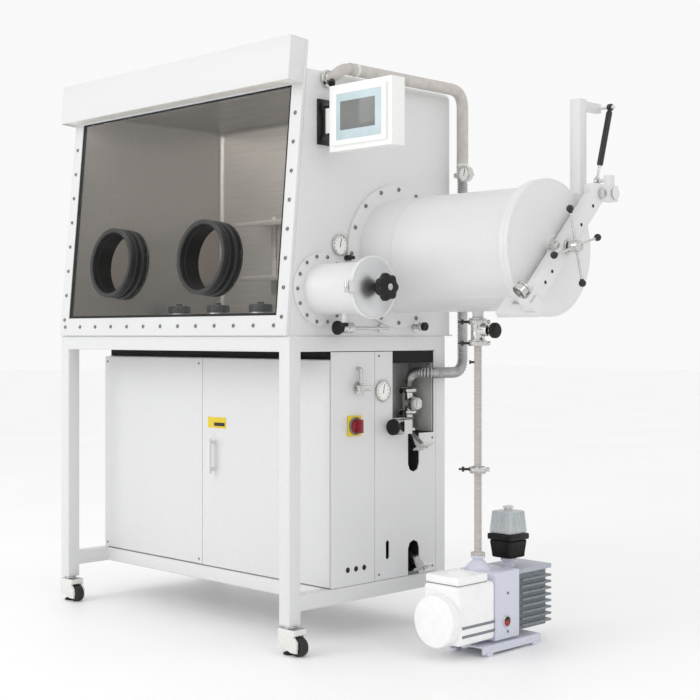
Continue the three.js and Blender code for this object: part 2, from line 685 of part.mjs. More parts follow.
// ---- vacuum pump ----------------------------------------------------------------------------------------
function addPump() {
  const x = PUMP_X;
  const base = joined(
    block([x - 55, x + 76], [41, 322], [26, 32]),
    block([x - 55, x - 49], [41, 322], [8, 32]),
    block([x + 70, x + 76], [41, 322], [8, 32]),
    block([x - 60, x - 44], [60, 84], [0, 10]),
    block([x + 64, x + 80], [60, 84], [0, 10]),
    block([x - 60, x - 44], [280, 304], [0, 10]),
    block([x + 64, x + 80], [280, 304], [0, 10]),
  );

  const motor = joined(
    rod("y", 76, 176, [x, -70, PUMP_AXIS_Z], 36),
    block([x - 71, x + 71], [-62, 106], [PUMP_AXIS_Z, 223]),
    turned("y", [[0, 0], [72, 0], [78, 6], [78, 34], [0, 34]], [x, -98, PUMP_AXIS_Z], 40),
    block([x - 69, x + 69], [-58, 74], [222, 249]),
  );
  part("pump_motor", motor, WHITE_COAT);

  const centre = block([x - 70, x + 70], [106.3, 222], [40, 244]);
  const legs = joined(
    block([x - 50, x - 20], [120, 200], [31, 42]),
    block([x + 20, x + 50], [120, 200], [31, 42]),
  );
  const inletFlange = [[0, 0], [40, 0], [38, 12], [16, 34], [16, 40], [22, 40], [22, 47.7], [0, 47.7]];
  const inlet = turned("z", inletFlange, [PUMP_LINE.x, PUMP_LINE.y, 242], 28);
  part("pump_body", joined(base, centre, legs, inlet), LILAC_GREY);

  const fins = [block([x - 58, x + 58], [222.3, 372], [52, 240])];
  fins.push(block([x - 70, x + 70], [222.3, 386], [228, 242]));
  for (let i = 0; i < 8; i += 1) {
    const z = 62 + 20 * i;
    fins.push(block([x - 70, x + 70], [240, 386], [z, z + 7]));
  }
  part("pump_oil_case", joined(...fins), GREY_CASTING);

  const filterX = 975;
  const filterY = 300;
  const bowl = joined(
    rod("z", 20, 38, [filterX, filterY, 242], 20),
    block([filterX - 46, filterX + 46], [filterY - 46, filterY + 46], [278, 345]),
    block([filterX - 54, filterX + 54], [filterY - 54, filterY + 54], [330, 350]),
  );
  part("exhaust_filter_bowl", bowl, BLACK_PLASTIC);
  const cover = joined(
    block([filterX - 50, filterX + 50], [filterY - 50, filterY + 50], [350.3, 372]),
    block([filterX - 44, filterX + 44], [filterY - 44, filterY + 44], [371, 424]),
    rod("z", 16, 16, [filterX, filterY, 422], 18),
  );
  part("exhaust_filter_cover", cover, CLEAR);
}

addStand();
addCasters();
addChamber();
addWindow();
addShelfRack();
addLargeAntechamber();
addDoorLift();
addSmallAntechamber();
addPurgeLine();
addControlPanel();
addPiping();
addAntechamberLine();
addCabinet();
addCabinetControls();
addPedal("foot_pedal_lower", 262);
addPedal("foot_pedal_upper", 655);
addPump();

export default gloveBox;
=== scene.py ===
import json
import math

import bpy
from mathutils import Matrix, Vector


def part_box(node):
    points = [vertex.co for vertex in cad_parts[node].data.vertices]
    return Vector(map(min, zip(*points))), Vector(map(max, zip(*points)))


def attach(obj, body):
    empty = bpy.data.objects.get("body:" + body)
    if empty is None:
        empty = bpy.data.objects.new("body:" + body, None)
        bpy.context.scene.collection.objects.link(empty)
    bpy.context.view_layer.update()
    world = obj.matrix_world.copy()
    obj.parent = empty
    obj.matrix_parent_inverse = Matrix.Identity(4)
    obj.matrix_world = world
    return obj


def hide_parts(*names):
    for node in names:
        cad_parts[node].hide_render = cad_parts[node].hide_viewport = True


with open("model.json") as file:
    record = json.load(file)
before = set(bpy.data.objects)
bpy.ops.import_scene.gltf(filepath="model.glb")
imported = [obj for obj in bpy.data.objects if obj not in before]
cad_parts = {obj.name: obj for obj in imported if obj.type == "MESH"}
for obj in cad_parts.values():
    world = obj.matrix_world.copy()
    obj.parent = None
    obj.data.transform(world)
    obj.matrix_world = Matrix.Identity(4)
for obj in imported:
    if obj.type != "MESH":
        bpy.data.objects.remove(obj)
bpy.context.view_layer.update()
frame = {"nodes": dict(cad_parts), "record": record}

# ----------------------------------------------
# Camera and studio. The glove box stands on a plain pale floor in soft daylight, and the camera is
# at bench height off its front right corner. Places are millimetres from the middle of the stand.
MM = 0.001
stand_low, stand_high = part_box("stand_frame")
stand_middle = (stand_low + stand_high) / 2


def at(x, y, z):
    """A place in millimetres from the middle of the stand, with z up from the floor."""
    return Vector((stand_middle.x + x * MM, stand_middle.y + y * MM, z * MM))


bpy.ops.object.select_all(action="DESELECT")
bpy.ops.object.camera_add(location=at(3594, -3058, 960), rotation=(math.radians(90), 0, math.radians(45.15)))
camera = bpy.context.object
camera.data.lens = 69
camera.data.shift_y = -0.02
bpy.context.scene.camera = camera

for light_name, place, width, power in (
    ("softbox_front", (-1300, -4700, 2900), 3.4, 68),
    ("softbox_right", (4700, -900, 3300), 2.4, 13),
):
    bpy.ops.object.light_add(type="AREA", location=at(*place))
    light = bpy.context.object
    light.name = light_name
    light.data.size = width
    light.data.energy = power
    light.rotation_euler = (at(200, 0, 950) - light.location).to_track_quat("-Z", "Y").to_euler()

# The strip lamp under the hood: a soft light along the top of the window, turned into the chamber.
bpy.ops.object.light_add(type="AREA", location=at(0, -258, 1742), rotation=(math.radians(30), 0, 0))
lamp = bpy.context.object
lamp.name = "strip_lamp_glow"
lamp.data.shape = "RECTANGLE"
lamp.data.size = 1.1
lamp.data.size_y = 0.08
lamp.data.energy = 2.6

world = bpy.context.scene.world or bpy.data.worlds.new("daylight")
bpy.context.scene.world = world
world.use_nodes = True
world.node_tree.nodes["Background"].inputs["Color"].default_value = (1.0, 1.0, 1.0, 1.0)
world.node_tree.nodes["Background"].inputs["Strength"].default_value = 0.95
bpy.context.scene.view_settings.view_transform = "Standard"


def linear(code):
    """An sRGB hex value as a linear colour."""
    parts = [int(code[i:i + 2], 16) / 255 for i in (1, 3, 5)]
    return (*(p / 12.92 if p <= 0.04045 else ((p + 0.055) / 1.055) ** 2.4 for p in parts), 1.0)


def add(tree, kind, settings, links):
    """Adds a node to a material, sets its sockets or properties by name, and links its sockets."""
    made = tree.nodes.new(kind)
    for name, value in settings.items():
        if name in made.inputs:
            made.inputs[name].default_value = value
        else:
            setattr(made, name, value)
    for name, source in links.items():
        tree.links.new(source, made.inputs[name])
    return made


def surface(name, dark, light, grain, roughness, relief, stretch=(1, 1, 1), **sockets):
    """A finish whose tone, gloss and relief wander by a grain of that many millimetres.

    roughness is its least and most, relief the height of the grain in millimetres, stretch draws it out,
    and the other sockets of the shader are given by name.
    """
    material = bpy.data.materials.new(name)
    material.use_nodes = True
    tree = material.node_tree
    shader = tree.nodes["Principled BSDF"]
    place = add(tree, "ShaderNodeTexCoord", {}, {})
    drawn = add(tree, "ShaderNodeMapping", {"Scale": stretch}, {"Vector": place.outputs["Object"]})
    grains = add(tree, "ShaderNodeTexNoise", {"Scale": 1 / (grain * MM), "Detail": 4.0},
                 {"Vector": drawn.outputs["Vector"]})
    tone = add(tree, "ShaderNodeValToRGB", {}, {"Fac": grains.outputs["Fac"]})
    tone.color_ramp.elements[0].position = 0.3
    tone.color_ramp.elements[0].color = linear(dark)
    tone.color_ramp.elements[1].position = 0.7
    tone.color_ramp.elements[1].color = linear(light)
    gloss = add(tree, "ShaderNodeMapRange", {"To Min": roughness[0], "To Max": roughness[1]},
                {"Value": grains.outputs["Fac"]})
    bump = add(tree, "ShaderNodeBump", {"Strength": 1.0, "Distance": relief * MM},
               {"Height": grains.outputs["Fac"]})
    tree.links.new(tone.outputs["Color"], shader.inputs["Base Color"])
    tree.links.new(gloss.outputs["Result"], shader.inputs["Roughness"])
    tree.links.new(bump.outputs["Normal"], shader.inputs["Normal"])
    for socket, value in sockets.items():
        shader.inputs[socket.replace("_", " ")].default_value = value
    return material


# Sealed concrete painted off white: even, with only a faint sheen.
FLOOR_PAINT = surface("floor_paint", "#fafafa", "#fdfdfd", 900, (0.45, 0.6), 0.02)
bpy.ops.mesh.primitive_plane_add(size=60, location=(0, 0, 0))
floor = bpy.context.object
floor.name = "floor"
floor.data.materials.append(FLOOR_PAINT)

# ----------------------------------------------
# Stand: square steel tube, welded and powder coated white. The coat has a soft satin gloss and a
# faint orange peel, and the tube's corners are rounded as it is rolled.
record = frame["record"]
body_of = {node: body for body, nodes in record["behaviour"]["bodies"].items() for node in nodes}

# Polyester powder coat: the peel is about 2 mm across, drawn at 6 mm so that it shows at all.
POWDER_COAT = surface("powder_coat_white", "#d9dada", "#dfdfdf", 6, (0.34, 0.44), 0.02, IOR=1.5)


def pick(piece):
    """Selects this piece and nothing else."""
    bpy.ops.object.select_all(action="DESELECT")
    piece.select_set(True)
    bpy.context.view_layer.objects.active = piece
    return piece


def apply(piece, kind, **settings):
    """Adds a modifier to a piece and applies it."""
    pick(piece)
    modifier = piece.modifiers.new("step", kind)
    for name, value in settings.items():
        setattr(modifier, name, value)
    bpy.ops.object.modifier_apply(modifier=modifier.name)
    return piece


def ease(piece, edge, steps=2, angle=35):
    """Rounds a piece's edges by that many millimetres and shades its curves smooth."""
    apply(piece, "BEVEL", width=edge * MM, segments=steps, limit_method="ANGLE",
          angle_limit=math.radians(angle), harden_normals=False)
    bpy.ops.object.shade_smooth_by_angle(angle=math.radians(angle))
    return piece


def finished(node, material, edge=1.0, steps=2, angle=35):
    """A finished copy of a CAD piece, in its place: merged to whole faces, edges rounded, and coated.

    With an edge of 0 its faces and edges stay as they are, which thin plates with cut-outs need.
    """
    piece = bpy.data.objects.new(f"{node}_coated", frame["nodes"][node].data.copy())
    bpy.context.scene.collection.objects.link(piece)
    piece.data.materials.clear()
    piece.data.materials.append(material)
    pick(piece)
    bpy.ops.mesh.customdata_custom_splitnormals_clear()
    bpy.ops.object.mode_set(mode="EDIT")
    bpy.ops.mesh.select_all(action="SELECT")
    bpy.ops.mesh.remove_doubles(threshold=0.02 * MM)
    if edge:
        bpy.ops.mesh.dissolve_limited(angle_limit=math.radians(0.5))
    bpy.ops.object.mode_set(mode="OBJECT")
    if edge:
        ease(piece, edge, steps, angle)
    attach(piece, body_of[node])
    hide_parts(node)
    return piece


def paint(piece, material, chosen):
    """Gives another finish to the faces whose middle and normal pass the test."""
    piece.data.materials.append(material)
    index = len(piece.data.materials) - 1
    for face in piece.data.polygons:
        if chosen(face.center, face.normal):
            face.material_index = index


finished("stand_frame", POWDER_COAT, edge=4, steps=3)


# ----------------------------------------------
# Levelling casters: a white moulded housing with its pressed swivel plate, a black nylon wheel with a
# pale hub, a ribbed thumbwheel that screws the foot down, and a rubber pad under the foot.
Z_WAY = (0, 0, 1)


def stand_on(piece, place, facing):
    """Moves a piece made upright at the origin to its place, with its axis in that direction."""
    piece.rotation_mode = "QUATERNION"
    piece.rotation_quaternion = Vector(facing).to_track_quat("Z", "Y")
    piece.location = place
    pick(piece)
    bpy.ops.object.transform_apply(location=True, rotation=True, scale=True)


def turned(name, profile, place, facing, material, sides=40, smooth=32):
    """Turns a profile of (radius, distance) in millimetres about the axis that leaves place in that direction.

    A profile starts and ends at radius 0, or ends where it starts and so closes round a hole.
    """
    least = 0.004
    radius, distance = profile[0]
    bpy.ops.mesh.primitive_circle_add(vertices=sides, radius=max(radius, least) * MM,
                                      location=(0, 0, 0), fill_type="NOTHING")
    piece = bpy.context.object
    piece.name = name
    bpy.ops.object.mode_set(mode="EDIT")
    bpy.ops.mesh.select_all(action="SELECT")
    bpy.ops.transform.translate(value=(0, 0, distance * MM))
    for next_radius, next_distance in profile[1:]:
        grow = max(next_radius, least) / max(radius, least)
        bpy.ops.mesh.extrude_edges_move(
            TRANSFORM_OT_translate={"value": (0, 0, (next_distance - distance) * MM)})
        bpy.ops.transform.resize(value=(grow, grow, 1), center_override=(0, 0, next_distance * MM))
        radius, distance = next_radius, next_distance
    bpy.ops.mesh.select_all(action="SELECT")
    bpy.ops.mesh.remove_doubles(threshold=0.01 * MM)
    bpy.ops.mesh.normals_make_consistent(inside=False)
    bpy.ops.object.mode_set(mode="OBJECT")
    stand_on(piece, place, facing)
    bpy.ops.object.shade_smooth_by_angle(angle=math.radians(smooth))
    piece.data.materials.append(material)
    return piece


def block(name, middle, size, turn=(0, 0, 0)):
    """A sharp-edged block about its middle, in metres, turned by three angles."""
    bpy.ops.mesh.primitive_cube_add(size=1, location=middle, rotation=turn)
    piece = bpy.context.object
    piece.name = name
    piece.scale = size
    bpy.ops.object.transform_apply(location=True, rotation=True, scale=True)
    return piece


def boxed(name, x, y, z, material, edge=1.5, steps=2):
    """A block between those millimetres from the middle of the stand, with rounded edges."""
    low, high = at(x[0], y[0], z[0]), at(x[1], y[1], z[1])
    piece = ease(block(name, (low + high) / 2, high - low), edge, steps)
    piece.data.materials.append(material)
    return piece


def fit(piece, body="frame", slot="brushed_stainless", *nodes):
    """Puts a piece on its body and hides the CAD pieces that it stands for. Its slot is not used."""
    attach(piece, body)
    if nodes:
        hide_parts(*nodes)
    return piece


# Glass-filled nylon housing: faintly mottled, half gloss.
CASTER_NYLON = surface("caster_nylon_cream", "#dddcd8", "#e8e7e3", 9, (0.32, 0.45), 0.03)
# Black nylon tyre: dull, scuffed a little lighter.
WHEEL_NYLON = surface("wheel_nylon_black", "#161616", "#262626", 5, (0.5, 0.7), 0.05)
# Zinc plate on the swivel and the foot's screw.
ZINC_PLATE = surface("zinc_plate", "#a3a6a8", "#c6c8c9", 4, (0.25, 0.42), 0.01, Metallic=1.0)
# Black rubber pad and grips.
BLACK_RUBBER = surface("black_rubber", "#111112", "#1d1d1e", 3, (0.7, 0.85), 0.06)

for corner, caster_x, caster_y in (
    ("front_left", -594, -330), ("front_right", 594, -330), ("rear_left", -594, 330), ("rear_right", 594, 330),
):
    housing = finished(f"caster_housing_{corner}", CASTER_NYLON, edge=1.6)
    paint(housing, BLACK_RUBBER, lambda middle, normal: middle.z < 11 * MM)
    paint(housing, ZINC_PLATE, lambda middle, normal: middle.z > 79.5 * MM or 11 * MM <= middle.z < 19 * MM)
    wheel_at = at(caster_x + 42, caster_y - 14, 28)
    tyre = [(4.4, 0), (9, 0), (9, 2), (17, 2), (17, 0), (25, 0), (27.4, 1.6), (28, 4), (28, 24), (27.4, 26.4),
            (25, 28), (17, 28), (17, 26), (9, 26), (9, 28), (4.4, 28), (4.4, 0)]
    wheel = turned(f"wheel_{corner}", tyre, wheel_at, (0, 1, 0), WHEEL_NYLON)
    paint(wheel, CASTER_NYLON, lambda middle, normal, hub=wheel_at:
          math.hypot(middle.x - hub.x, middle.z - hub.z) < 9.2 * MM)
    fit(wheel, f"wheel_{corner}", "black_plastic", f"caster_wheel_{corner}")
    ribs = [(0, 0), (13, 0), (15, 1.5), (15, 8.5), (13, 10), (0, 10)]
    dial = turned(f"levelling_dial_{corner}", ribs, at(caster_x + 1, caster_y, 36), Z_WAY, WHEEL_NYLON, 24, 20)
    fit(dial, f"caster_{corner}", "black_plastic")

# ----------------------------------------------
# Chamber: one folded and welded skin of 4 mm stainless sheet, with wide bends along its roof and its
# rear corners, coated white outside and left brushed inside, on a flat stainless floor.
SHEET = 4
BOX_HALF_X = 613
BOX_REAR = 398
BOX_FACE = -350
BENCH = 960
BOX_TOP = 1780
LEAN = math.atan(0.09)
# The axes of the two antechambers, across and up.
LARGE_AXIS = (118, 1218)
SMALL_AXIS = (-222, 1103)

# Brushed stainless sheet: fine lines along its length, drawn at 1.2 mm so that they show, and a soft
# sheen that gathers in wide bands.
BRUSHED_SHEET = surface("brushed_stainless_sheet", "#bdb8b3", "#d3cec9", 60, (0.3, 0.42), 0.02,
                        stretch=(0.25, 6, 24), Metallic=0.85)


def choose(piece, kind, test):
    """Opens the piece for editing, with only those vertices, edges or faces selected that pass the test."""
    bpy.ops.object.mode_set(mode="EDIT")
    bpy.ops.mesh.select_mode(type=kind)
    bpy.ops.mesh.select_all(action="DESELECT")
    bpy.ops.object.mode_set(mode="OBJECT")
    mesh = piece.data
    for item in {"VERT": mesh.vertices, "EDGE": mesh.edges, "FACE": mesh.polygons}[kind]:
        item.select = test(item)
    bpy.ops.object.mode_set(mode="EDIT")


def ends(piece, edge):
    """The places of an edge's two ends."""
    return [piece.data.vertices[index].co for index in edge.vertices]


chamber_low, chamber_high = at(-BOX_HALF_X, BOX_FACE, BENCH + SHEET), at(BOX_HALF_X, BOX_REAR, BOX_TOP)
chamber = block("chamber_skin", (chamber_low + chamber_high) / 2, chamber_high - chamber_low)
near_front, near_rear, near_roof = chamber_low.y + MM, chamber_high.y - MM, chamber_high.z - MM
choose(chamber, "VERT", lambda corner: corner.co.y < near_front and corner.co.z > near_roof)
bpy.ops.transform.translate(value=(0, (BOX_TOP - BENCH) * math.tan(LEAN) * MM, 0))
choose(chamber, "FACE", lambda face: face.normal.y < -0.9 or face.normal.z < -0.9)
bpy.ops.mesh.delete(type="FACE")


def is_bend(edge):
    """The sheet bends round the rear wall's sides and top, and along both sides of the roof."""
    one, other = ends(chamber, edge)
    along_rear = min(one.y, other.y) > near_rear and max(one.z, other.z) > near_roof
    along_roof = min(one.z, other.z) > near_roof and abs(one.x - other.x) < MM
    return along_rear or along_roof


choose(chamber, "EDGE", is_bend)
bpy.ops.mesh.bevel(offset=26 * MM, segments=6, affect="EDGES")
bpy.ops.object.mode_set(mode="OBJECT")
chamber.data.materials.append(POWDER_COAT)
chamber.data.materials.append(BRUSHED_SHEET)
apply(chamber, "SOLIDIFY", thickness=SHEET * MM, offset=-1, use_even_offset=True, material_offset=1)
for bore_axis, bore_radius, bore_sides in ((LARGE_AXIS, 183, 96), (SMALL_AXIS, 78, 64)):
    bpy.ops.mesh.primitive_cylinder_add(vertices=bore_sides, radius=bore_radius * MM, depth=0.1,
                                        location=at(BOX_HALF_X, *bore_axis), rotation=(0, math.radians(90), 0))
    cutter = bpy.context.object
    apply(chamber, "BOOLEAN", operation="DIFFERENCE", object=cutter, solver="EXACT")
    bpy.data.objects.remove(cutter)
pick(chamber)
bpy.ops.object.shade_smooth_by_angle(angle=math.radians(30))
fit(chamber, "frame", "white_coat", "chamber_roof", "chamber_rear_wall", "chamber_left_wall",
    "chamber_right_wall")

chamber_floor = finished("chamber_floor", POWDER_COAT, edge=0.6)
paint(chamber_floor, BRUSHED_SHEET, lambda middle, normal: normal.z > 0.9)

# ----------------------------------------------
# Window: a white frame held by stainless button screws, a black gasket under it and clear laminated
# glass, all leaning back together.
up_window = Vector((0, math.sin(LEAN), math.cos(LEAN)))
out_of_window = Vector((0, -math.cos(LEAN), math.sin(LEAN)))


def on_window(x, up, out):
    """A place on the leaning front: x across, up along it from the bench, and out from the chamber."""
    return at(x, BOX_FACE, BENCH) + up_window * up * MM + out_of_window * out * MM


# Laminated glass: clear, a trace of grey-green, with faint streaks from wiping.
LAMINATED_GLASS = surface("laminated_glass", "#8b9291", "#969c9b", 120, (0.02, 0.06), 0.0, stretch=(1, 1, 3),
                          Alpha=0.07, IOR=1.52)
# Stainless screws: turned heads, dull from handling.
SCREW_STEEL = surface("screw_stainless", "#6f6d6b", "#9a9896", 2, (0.25, 0.4), 0.01, Metallic=1.0)

finished("window_frame", POWDER_COAT, edge=1.2)
finished("window_gasket", BLACK_RUBBER, edge=0.8)
glass = frame["nodes"]["window_glass"]
glass.data.materials.clear()
glass.data.materials.append(LAMINATED_GLASS)


def button_screw(name, place, facing, size):
    """A button head screw with a socket: size is the head's radius in millimetres."""
    head = [(0, 0.25 * size), (0.34 * size, 0.25 * size), (0.36 * size, 0.62 * size), (0.6 * size, 0.6 * size),
            (0.86 * size, 0.42 * size), (size, 0.16 * size), (size, 0), (0, 0)]
    return turned(name, head, place, facing, SCREW_STEEL, sides=16, smooth=45)


def screws(name, places, facing, size):
    """Like button screws, one at each place: one is modelled and copied, each copy with its own mesh."""
    first = button_screw(name, at(0, 0, 0), facing, size)
    for number, place in enumerate(places, 1):
        copied = bpy.data.objects.new(f"{name}_{number:02d}", first.data.copy())
        bpy.context.scene.collection.objects.link(copied)
        copied.data.transform(Matrix.Translation(place - at(0, 0, 0)))
        fit(copied)
    bpy.data.objects.remove(first)


FRAME_FACE = 13
sill_places = [on_window(-580 + 94.6 * i, 31, FRAME_FACE) for i in range(13)]
side_places = [on_window(x, 57 + 89 * i, FRAME_FACE) for x in (-588, 588) for i in range(8)]
screws("window_screw", sill_places + side_places, out_of_window, 6.5)

# ----------------------------------------------
# Glove ports: black moulded rings clamped through the glass. Each has grooves outside for the rings
# that hold a glove's cuff, and a rubber cuff ring sits in the one next to the glass.
# Black polyoxymethylene, turned: matt with faint turning lines.
PORT_PLASTIC = surface("port_acetal_black", "#1b1b1c", "#2a2a2b", 7, (0.36, 0.5), 0.04)

GLASS_FACE = 9.3
for side, port_x in (("left", -246), ("right", 246)):
    ring = [(104, -16), (120, -16), (120, -8), (109, -8), (109, 0), (121, 0), (121, 9), (117, 11), (115, 14),
            (115, 24), (117, 27), (120, 28), (120, 36), (117.5, 38), (117.5, 43), (120, 45), (120, 59),
            (118.5, 62), (107, 62), (104, 58.5), (104, 40), (103.2, 39), (103.2, 36), (104, 35), (104, -16)]
    port = turned(f"port_ring_{side}", ring, on_window(port_x, 246, GLASS_FACE), out_of_window, PORT_PLASTIC, 96)
    fit(port, "frame", "black_plastic", f"glove_port_{side}")
    cuff = [(115.3, 15), (118.5, 15.6), (119.6, 19), (118.5, 22.4), (115.3, 23), (115.3, 15)]
    fit(turned(f"cuff_ring_{side}", cuff, on_window(port_x, 246, GLASS_FACE), out_of_window, BLACK_RUBBER, 96),
        "frame", "black_rubber")

# ----------------------------------------------
# Lamp hood: folded white sheet above the window. Its underside holds a long milky diffuser between
# two end brackets.
finished("lamp_hood", POWDER_COAT, edge=1.6)
# Opal acrylic diffuser: warm, milky and even.
OPAL_ACRYLIC = surface("opal_acrylic", "#efece2", "#f7f5ee", 60, (0.3, 0.4), 0.0)


def leaning_box(name, x, up, out, material, edge=1.5, steps=2):
    """A block laid square to the leaning window, between millimetres across, up and out."""
    middle = on_window(sum(x) / 2, sum(up) / 2, sum(out) / 2)
    size = [(high - low) * MM for low, high in (x, out, up)]
    piece = ease(block(name, middle, size, (-LEAN, 0, 0)), edge, steps)
    piece.data.materials.append(material)
    return piece


diffuser = leaning_box("lamp_diffuser", (-596, 590), (772, 790), (20, 66), OPAL_ACRYLIC, 6, 3)
fit(diffuser, "frame", "white_plastic")
for side, bracket_x in (("left", -608), ("right", 594)):
    bracket = leaning_box(f"lamp_bracket_{side}", (bracket_x, bracket_x + 12), (771, 800), (17.5, 71),
                          CASTER_NYLON, 1)
    fit(bracket, "frame", "white_plastic")

# ----------------------------------------------
# Inside the chamber: brushed shelves hung on the rear wall, three gas filters standing on the floor,
# and a soft white hose by the right wall.
finished("shelf_rack", BRUSHED_SHEET, edge=0.8)
# Sintered filter with a spun aluminium case under a black cap.
SPUN_ALUMINIUM = surface("spun_aluminium", "#cbccce", "#e2e3e3", 3, (0.28, 0.4), 0.02, stretch=(1, 1, 8),
                         Metallic=1.0)
for number, filter_x in enumerate((-520, -285, -45), 1):
    foot = at(filter_x, 110, 964)
    can = [(0, 0), (41, 0), (42, 2), (42, 20), (40, 22), (40, 74), (42, 76), (42, 82), (0, 82)]
    fit(turned(f"gas_filter_{number}", can, foot, Z_WAY, SPUN_ALUMINIUM, 48))
    cap = [(0, 82.3), (43, 82.3), (43, 104), (40, 110), (12, 112), (12, 118), (0, 118)]
    fit(turned(f"gas_filter_cap_{number}", cap, foot, Z_WAY, PORT_PLASTIC, 48), "frame", "black_plastic")


def stations(points, bend, steps=8):
    """The points of a run with straight lengths and round bends."""
    places = [points[0]]
    for before, corner, after in zip(points, points[1:], points[2:]):
        enter = corner + (before - corner).normalized() * bend * MM
        leave = corner + (after - corner).normalized() * bend * MM
        for step in range(steps + 1):
            t = step / steps
            places.append(enter * (1 - t) ** 2 + corner * 2 * t * (1 - t) + leave * t ** 2)
    return places + [points[-1]]


def run_of(points, bend):
    """A curve through a run's points."""
    bpy.ops.curve.primitive_nurbs_path_add(location=(0, 0, 0))
    run = bpy.context.object
    places = stations([at(*point) for point in points], bend) if bend else [at(*point) for point in points]
    run.data.splines.clear()
    spline = run.data.splines.new("POLY")
    spline.points.add(len(places) - 1)
    for point, place in zip(spline.points, places):
        point.co = (*place, 1)
    return run


def bar(name, points, radius, bend, material, resolution=4):
    """A round bar or pipe along a run."""
    piece = run_of(points, bend)
    piece.name = name
    piece.data.bevel_depth = radius * MM
    piece.data.bevel_resolution = resolution
    piece.data.use_fill_caps = True
    pick(piece)
    bpy.ops.object.convert(target="MESH")
    piece = bpy.context.object
    bpy.ops.object.mode_set(mode="EDIT")
    bpy.ops.mesh.select_all(action="SELECT")
    bpy.ops.mesh.remove_doubles(threshold=0.01 * MM)
    bpy.ops.mesh.normals_make_consistent(inside=False)
    bpy.ops.object.mode_set(mode="OBJECT")
    bpy.ops.object.shade_smooth_by_angle(angle=math.radians(50))
    piece.data.materials.clear()
    piece.data.materials.append(material)
    return piece


hose = bar("chamber_hose", [(605, 330, 1160), (560, 320, 1165), (545, 310, 1090), (520, 300, 1000), (430, 290, 972)],
           6, 30, OPAL_ACRYLIC)
fit(hose, "frame", "white_plastic")

# ----------------------------------------------
# Large antechamber: a rolled and welded tube, coated white, bolted to the wall through its flange.
# A tray slides inside it, and the outer door closes on a round rubber seal.
finished("large_antechamber_tube", POWDER_COAT, edge=1.2, angle=32)
finished("large_sliding_tray", BRUSHED_SHEET, edge=0.8)
finished("large_inner_door", SPUN_ALUMINIUM, edge=1.2)
X_WAY = Vector((1, 0, 0))


def round_places(axis, radius, count, x):
    """Places spaced evenly round a circle that faces along x, from its front."""
    turns = [math.pi + 2 * math.pi * i / count for i in range(count)]
    return [at(x, axis[0] + radius * math.cos(turn), axis[1] + radius * math.sin(turn)) for turn in turns]


for name, axis, radius, count, face_x, size in (
    ("large_flange_bolt", LARGE_AXIS, 216, 16, 625, 7),
    ("small_flange_bolt", SMALL_AXIS, 102, 14, 622, 6),
):
    screws(name, round_places(axis, radius, count, face_x), X_WAY, size)

bead = [(183, -2.5), (184, -1.4), (184.3, 0), (184, 1.4), (183, 2.5), (183, -2.5)]
fit(turned("tube_seam", bead, at(762, *LARGE_AXIS), X_WAY, POWDER_COAT, 96), "frame", "white_coat")
seal = [(188.2, 0), (197, 0), (197, 3.1), (194, 3.6), (191, 3.6), (188.2, 3.1), (188.2, 0)]
fit(turned("large_door_seal", seal, at(1211.8, *LARGE_AXIS), X_WAY, BLACK_RUBBER, 96), "frame", "black_rubber")

door = [(0, 0), (186, 0), (201, 0), (202.4, 1.4), (202.4, 13), (200.5, 15), (196, 16), (193.5, 15.4), (191.5, 16.4),
        (150, 20.5), (90, 23.5), (40, 25), (36, 26.5), (36, 31.8), (34.5, 33.2), (11, 33.2), (11, 17), (0, 17)]
fit(turned("large_door_disc", door, at(1215.6, *LARGE_AXIS), X_WAY, POWDER_COAT, 128, 25),
    "large_door", "white_coat", "large_outer_door")

# ----------------------------------------------
# Door lift: a coated post on the tube, a beam that swings on its shaft, and the clamping screw with a
# four-ball handwheel. Steel balls are black phenolic on bright spokes.
# Bright turned steel: close to chrome, with faint turning rings.
BRIGHT_STEEL = surface("bright_turned_steel", "#bdbcba", "#dcdbd9", 5, (0.12, 0.24), 0.01, Metallic=1.0)
# Black phenolic balls: hard, deep and glossy.
PHENOLIC = surface("phenolic_black", "#0d0d0e", "#1a1a1b", 12, (0.14, 0.22), 0.01)

finished("door_lift_post", POWDER_COAT, edge=1.6)
finished("door_swing_arm", POWDER_COAT, edge=1.6)
hub = [(0, 0), (10, 0), (10, 60), (15, 61), (17, 63), (17, 92), (15, 95.5), (8, 96), (8, 94.5), (0, 94.5)]
# The beam's middle and outer face, and the plane of the handwheel's spokes, across.
BEAM_X, BEAM_FACE, SPOKES_X = 1274, 1292.2, 1322
spokes_middle = at(SPOKES_X, *LARGE_AXIS)
hub_piece = turned("handwheel_hub", hub, at(1242, *LARGE_AXIS), X_WAY, BRIGHT_STEEL, 48)
for number in range(4):
    turn = math.radians(16 + 90 * number)
    outwards = Vector((0, math.cos(turn), math.sin(turn)))
    spoke = [(0, 12), (5.5, 12), (5.5, 22), (3.8, 24), (3.8, 98), (0, 98)]
    fit(turned(f"handwheel_spoke_{number + 1}", spoke, spokes_middle, outwards, BRIGHT_STEEL, 20), "handwheel")
    arc = [(11 * math.sin(math.radians(a)), 110 - 11 * math.cos(math.radians(a))) for a in range(35, 181, 12)]
    ball = [(0, 97), (5.5, 97), (5.8, 100), *arc, (0, 121)]
    fit(turned(f"handwheel_ball_{number + 1}", ball, spokes_middle, outwards, PHENOLIC, 32, 40), "handwheel",
        "black_plastic")
fit(hub_piece, "handwheel", "black_plastic", "door_handwheel")

shaft_cap = [(0, 0), (17, 0), (18, 1), (18, 4), (16, 5), (0, 5)]
fit(turned("pivot_cap", shaft_cap, at(1296.6, 351, 1389), X_WAY, POWDER_COAT, 40), "swing_arm", "white_coat")
end_screw = [(0, 0), (16, 0), (17, 1), (17, 9), (15, 12), (9, 13), (9, 9), (0, 9)]
fit(turned("beam_end_screw", end_screw, at(BEAM_FACE, 286, 1384), X_WAY, BRIGHT_STEEL), "swing_arm")


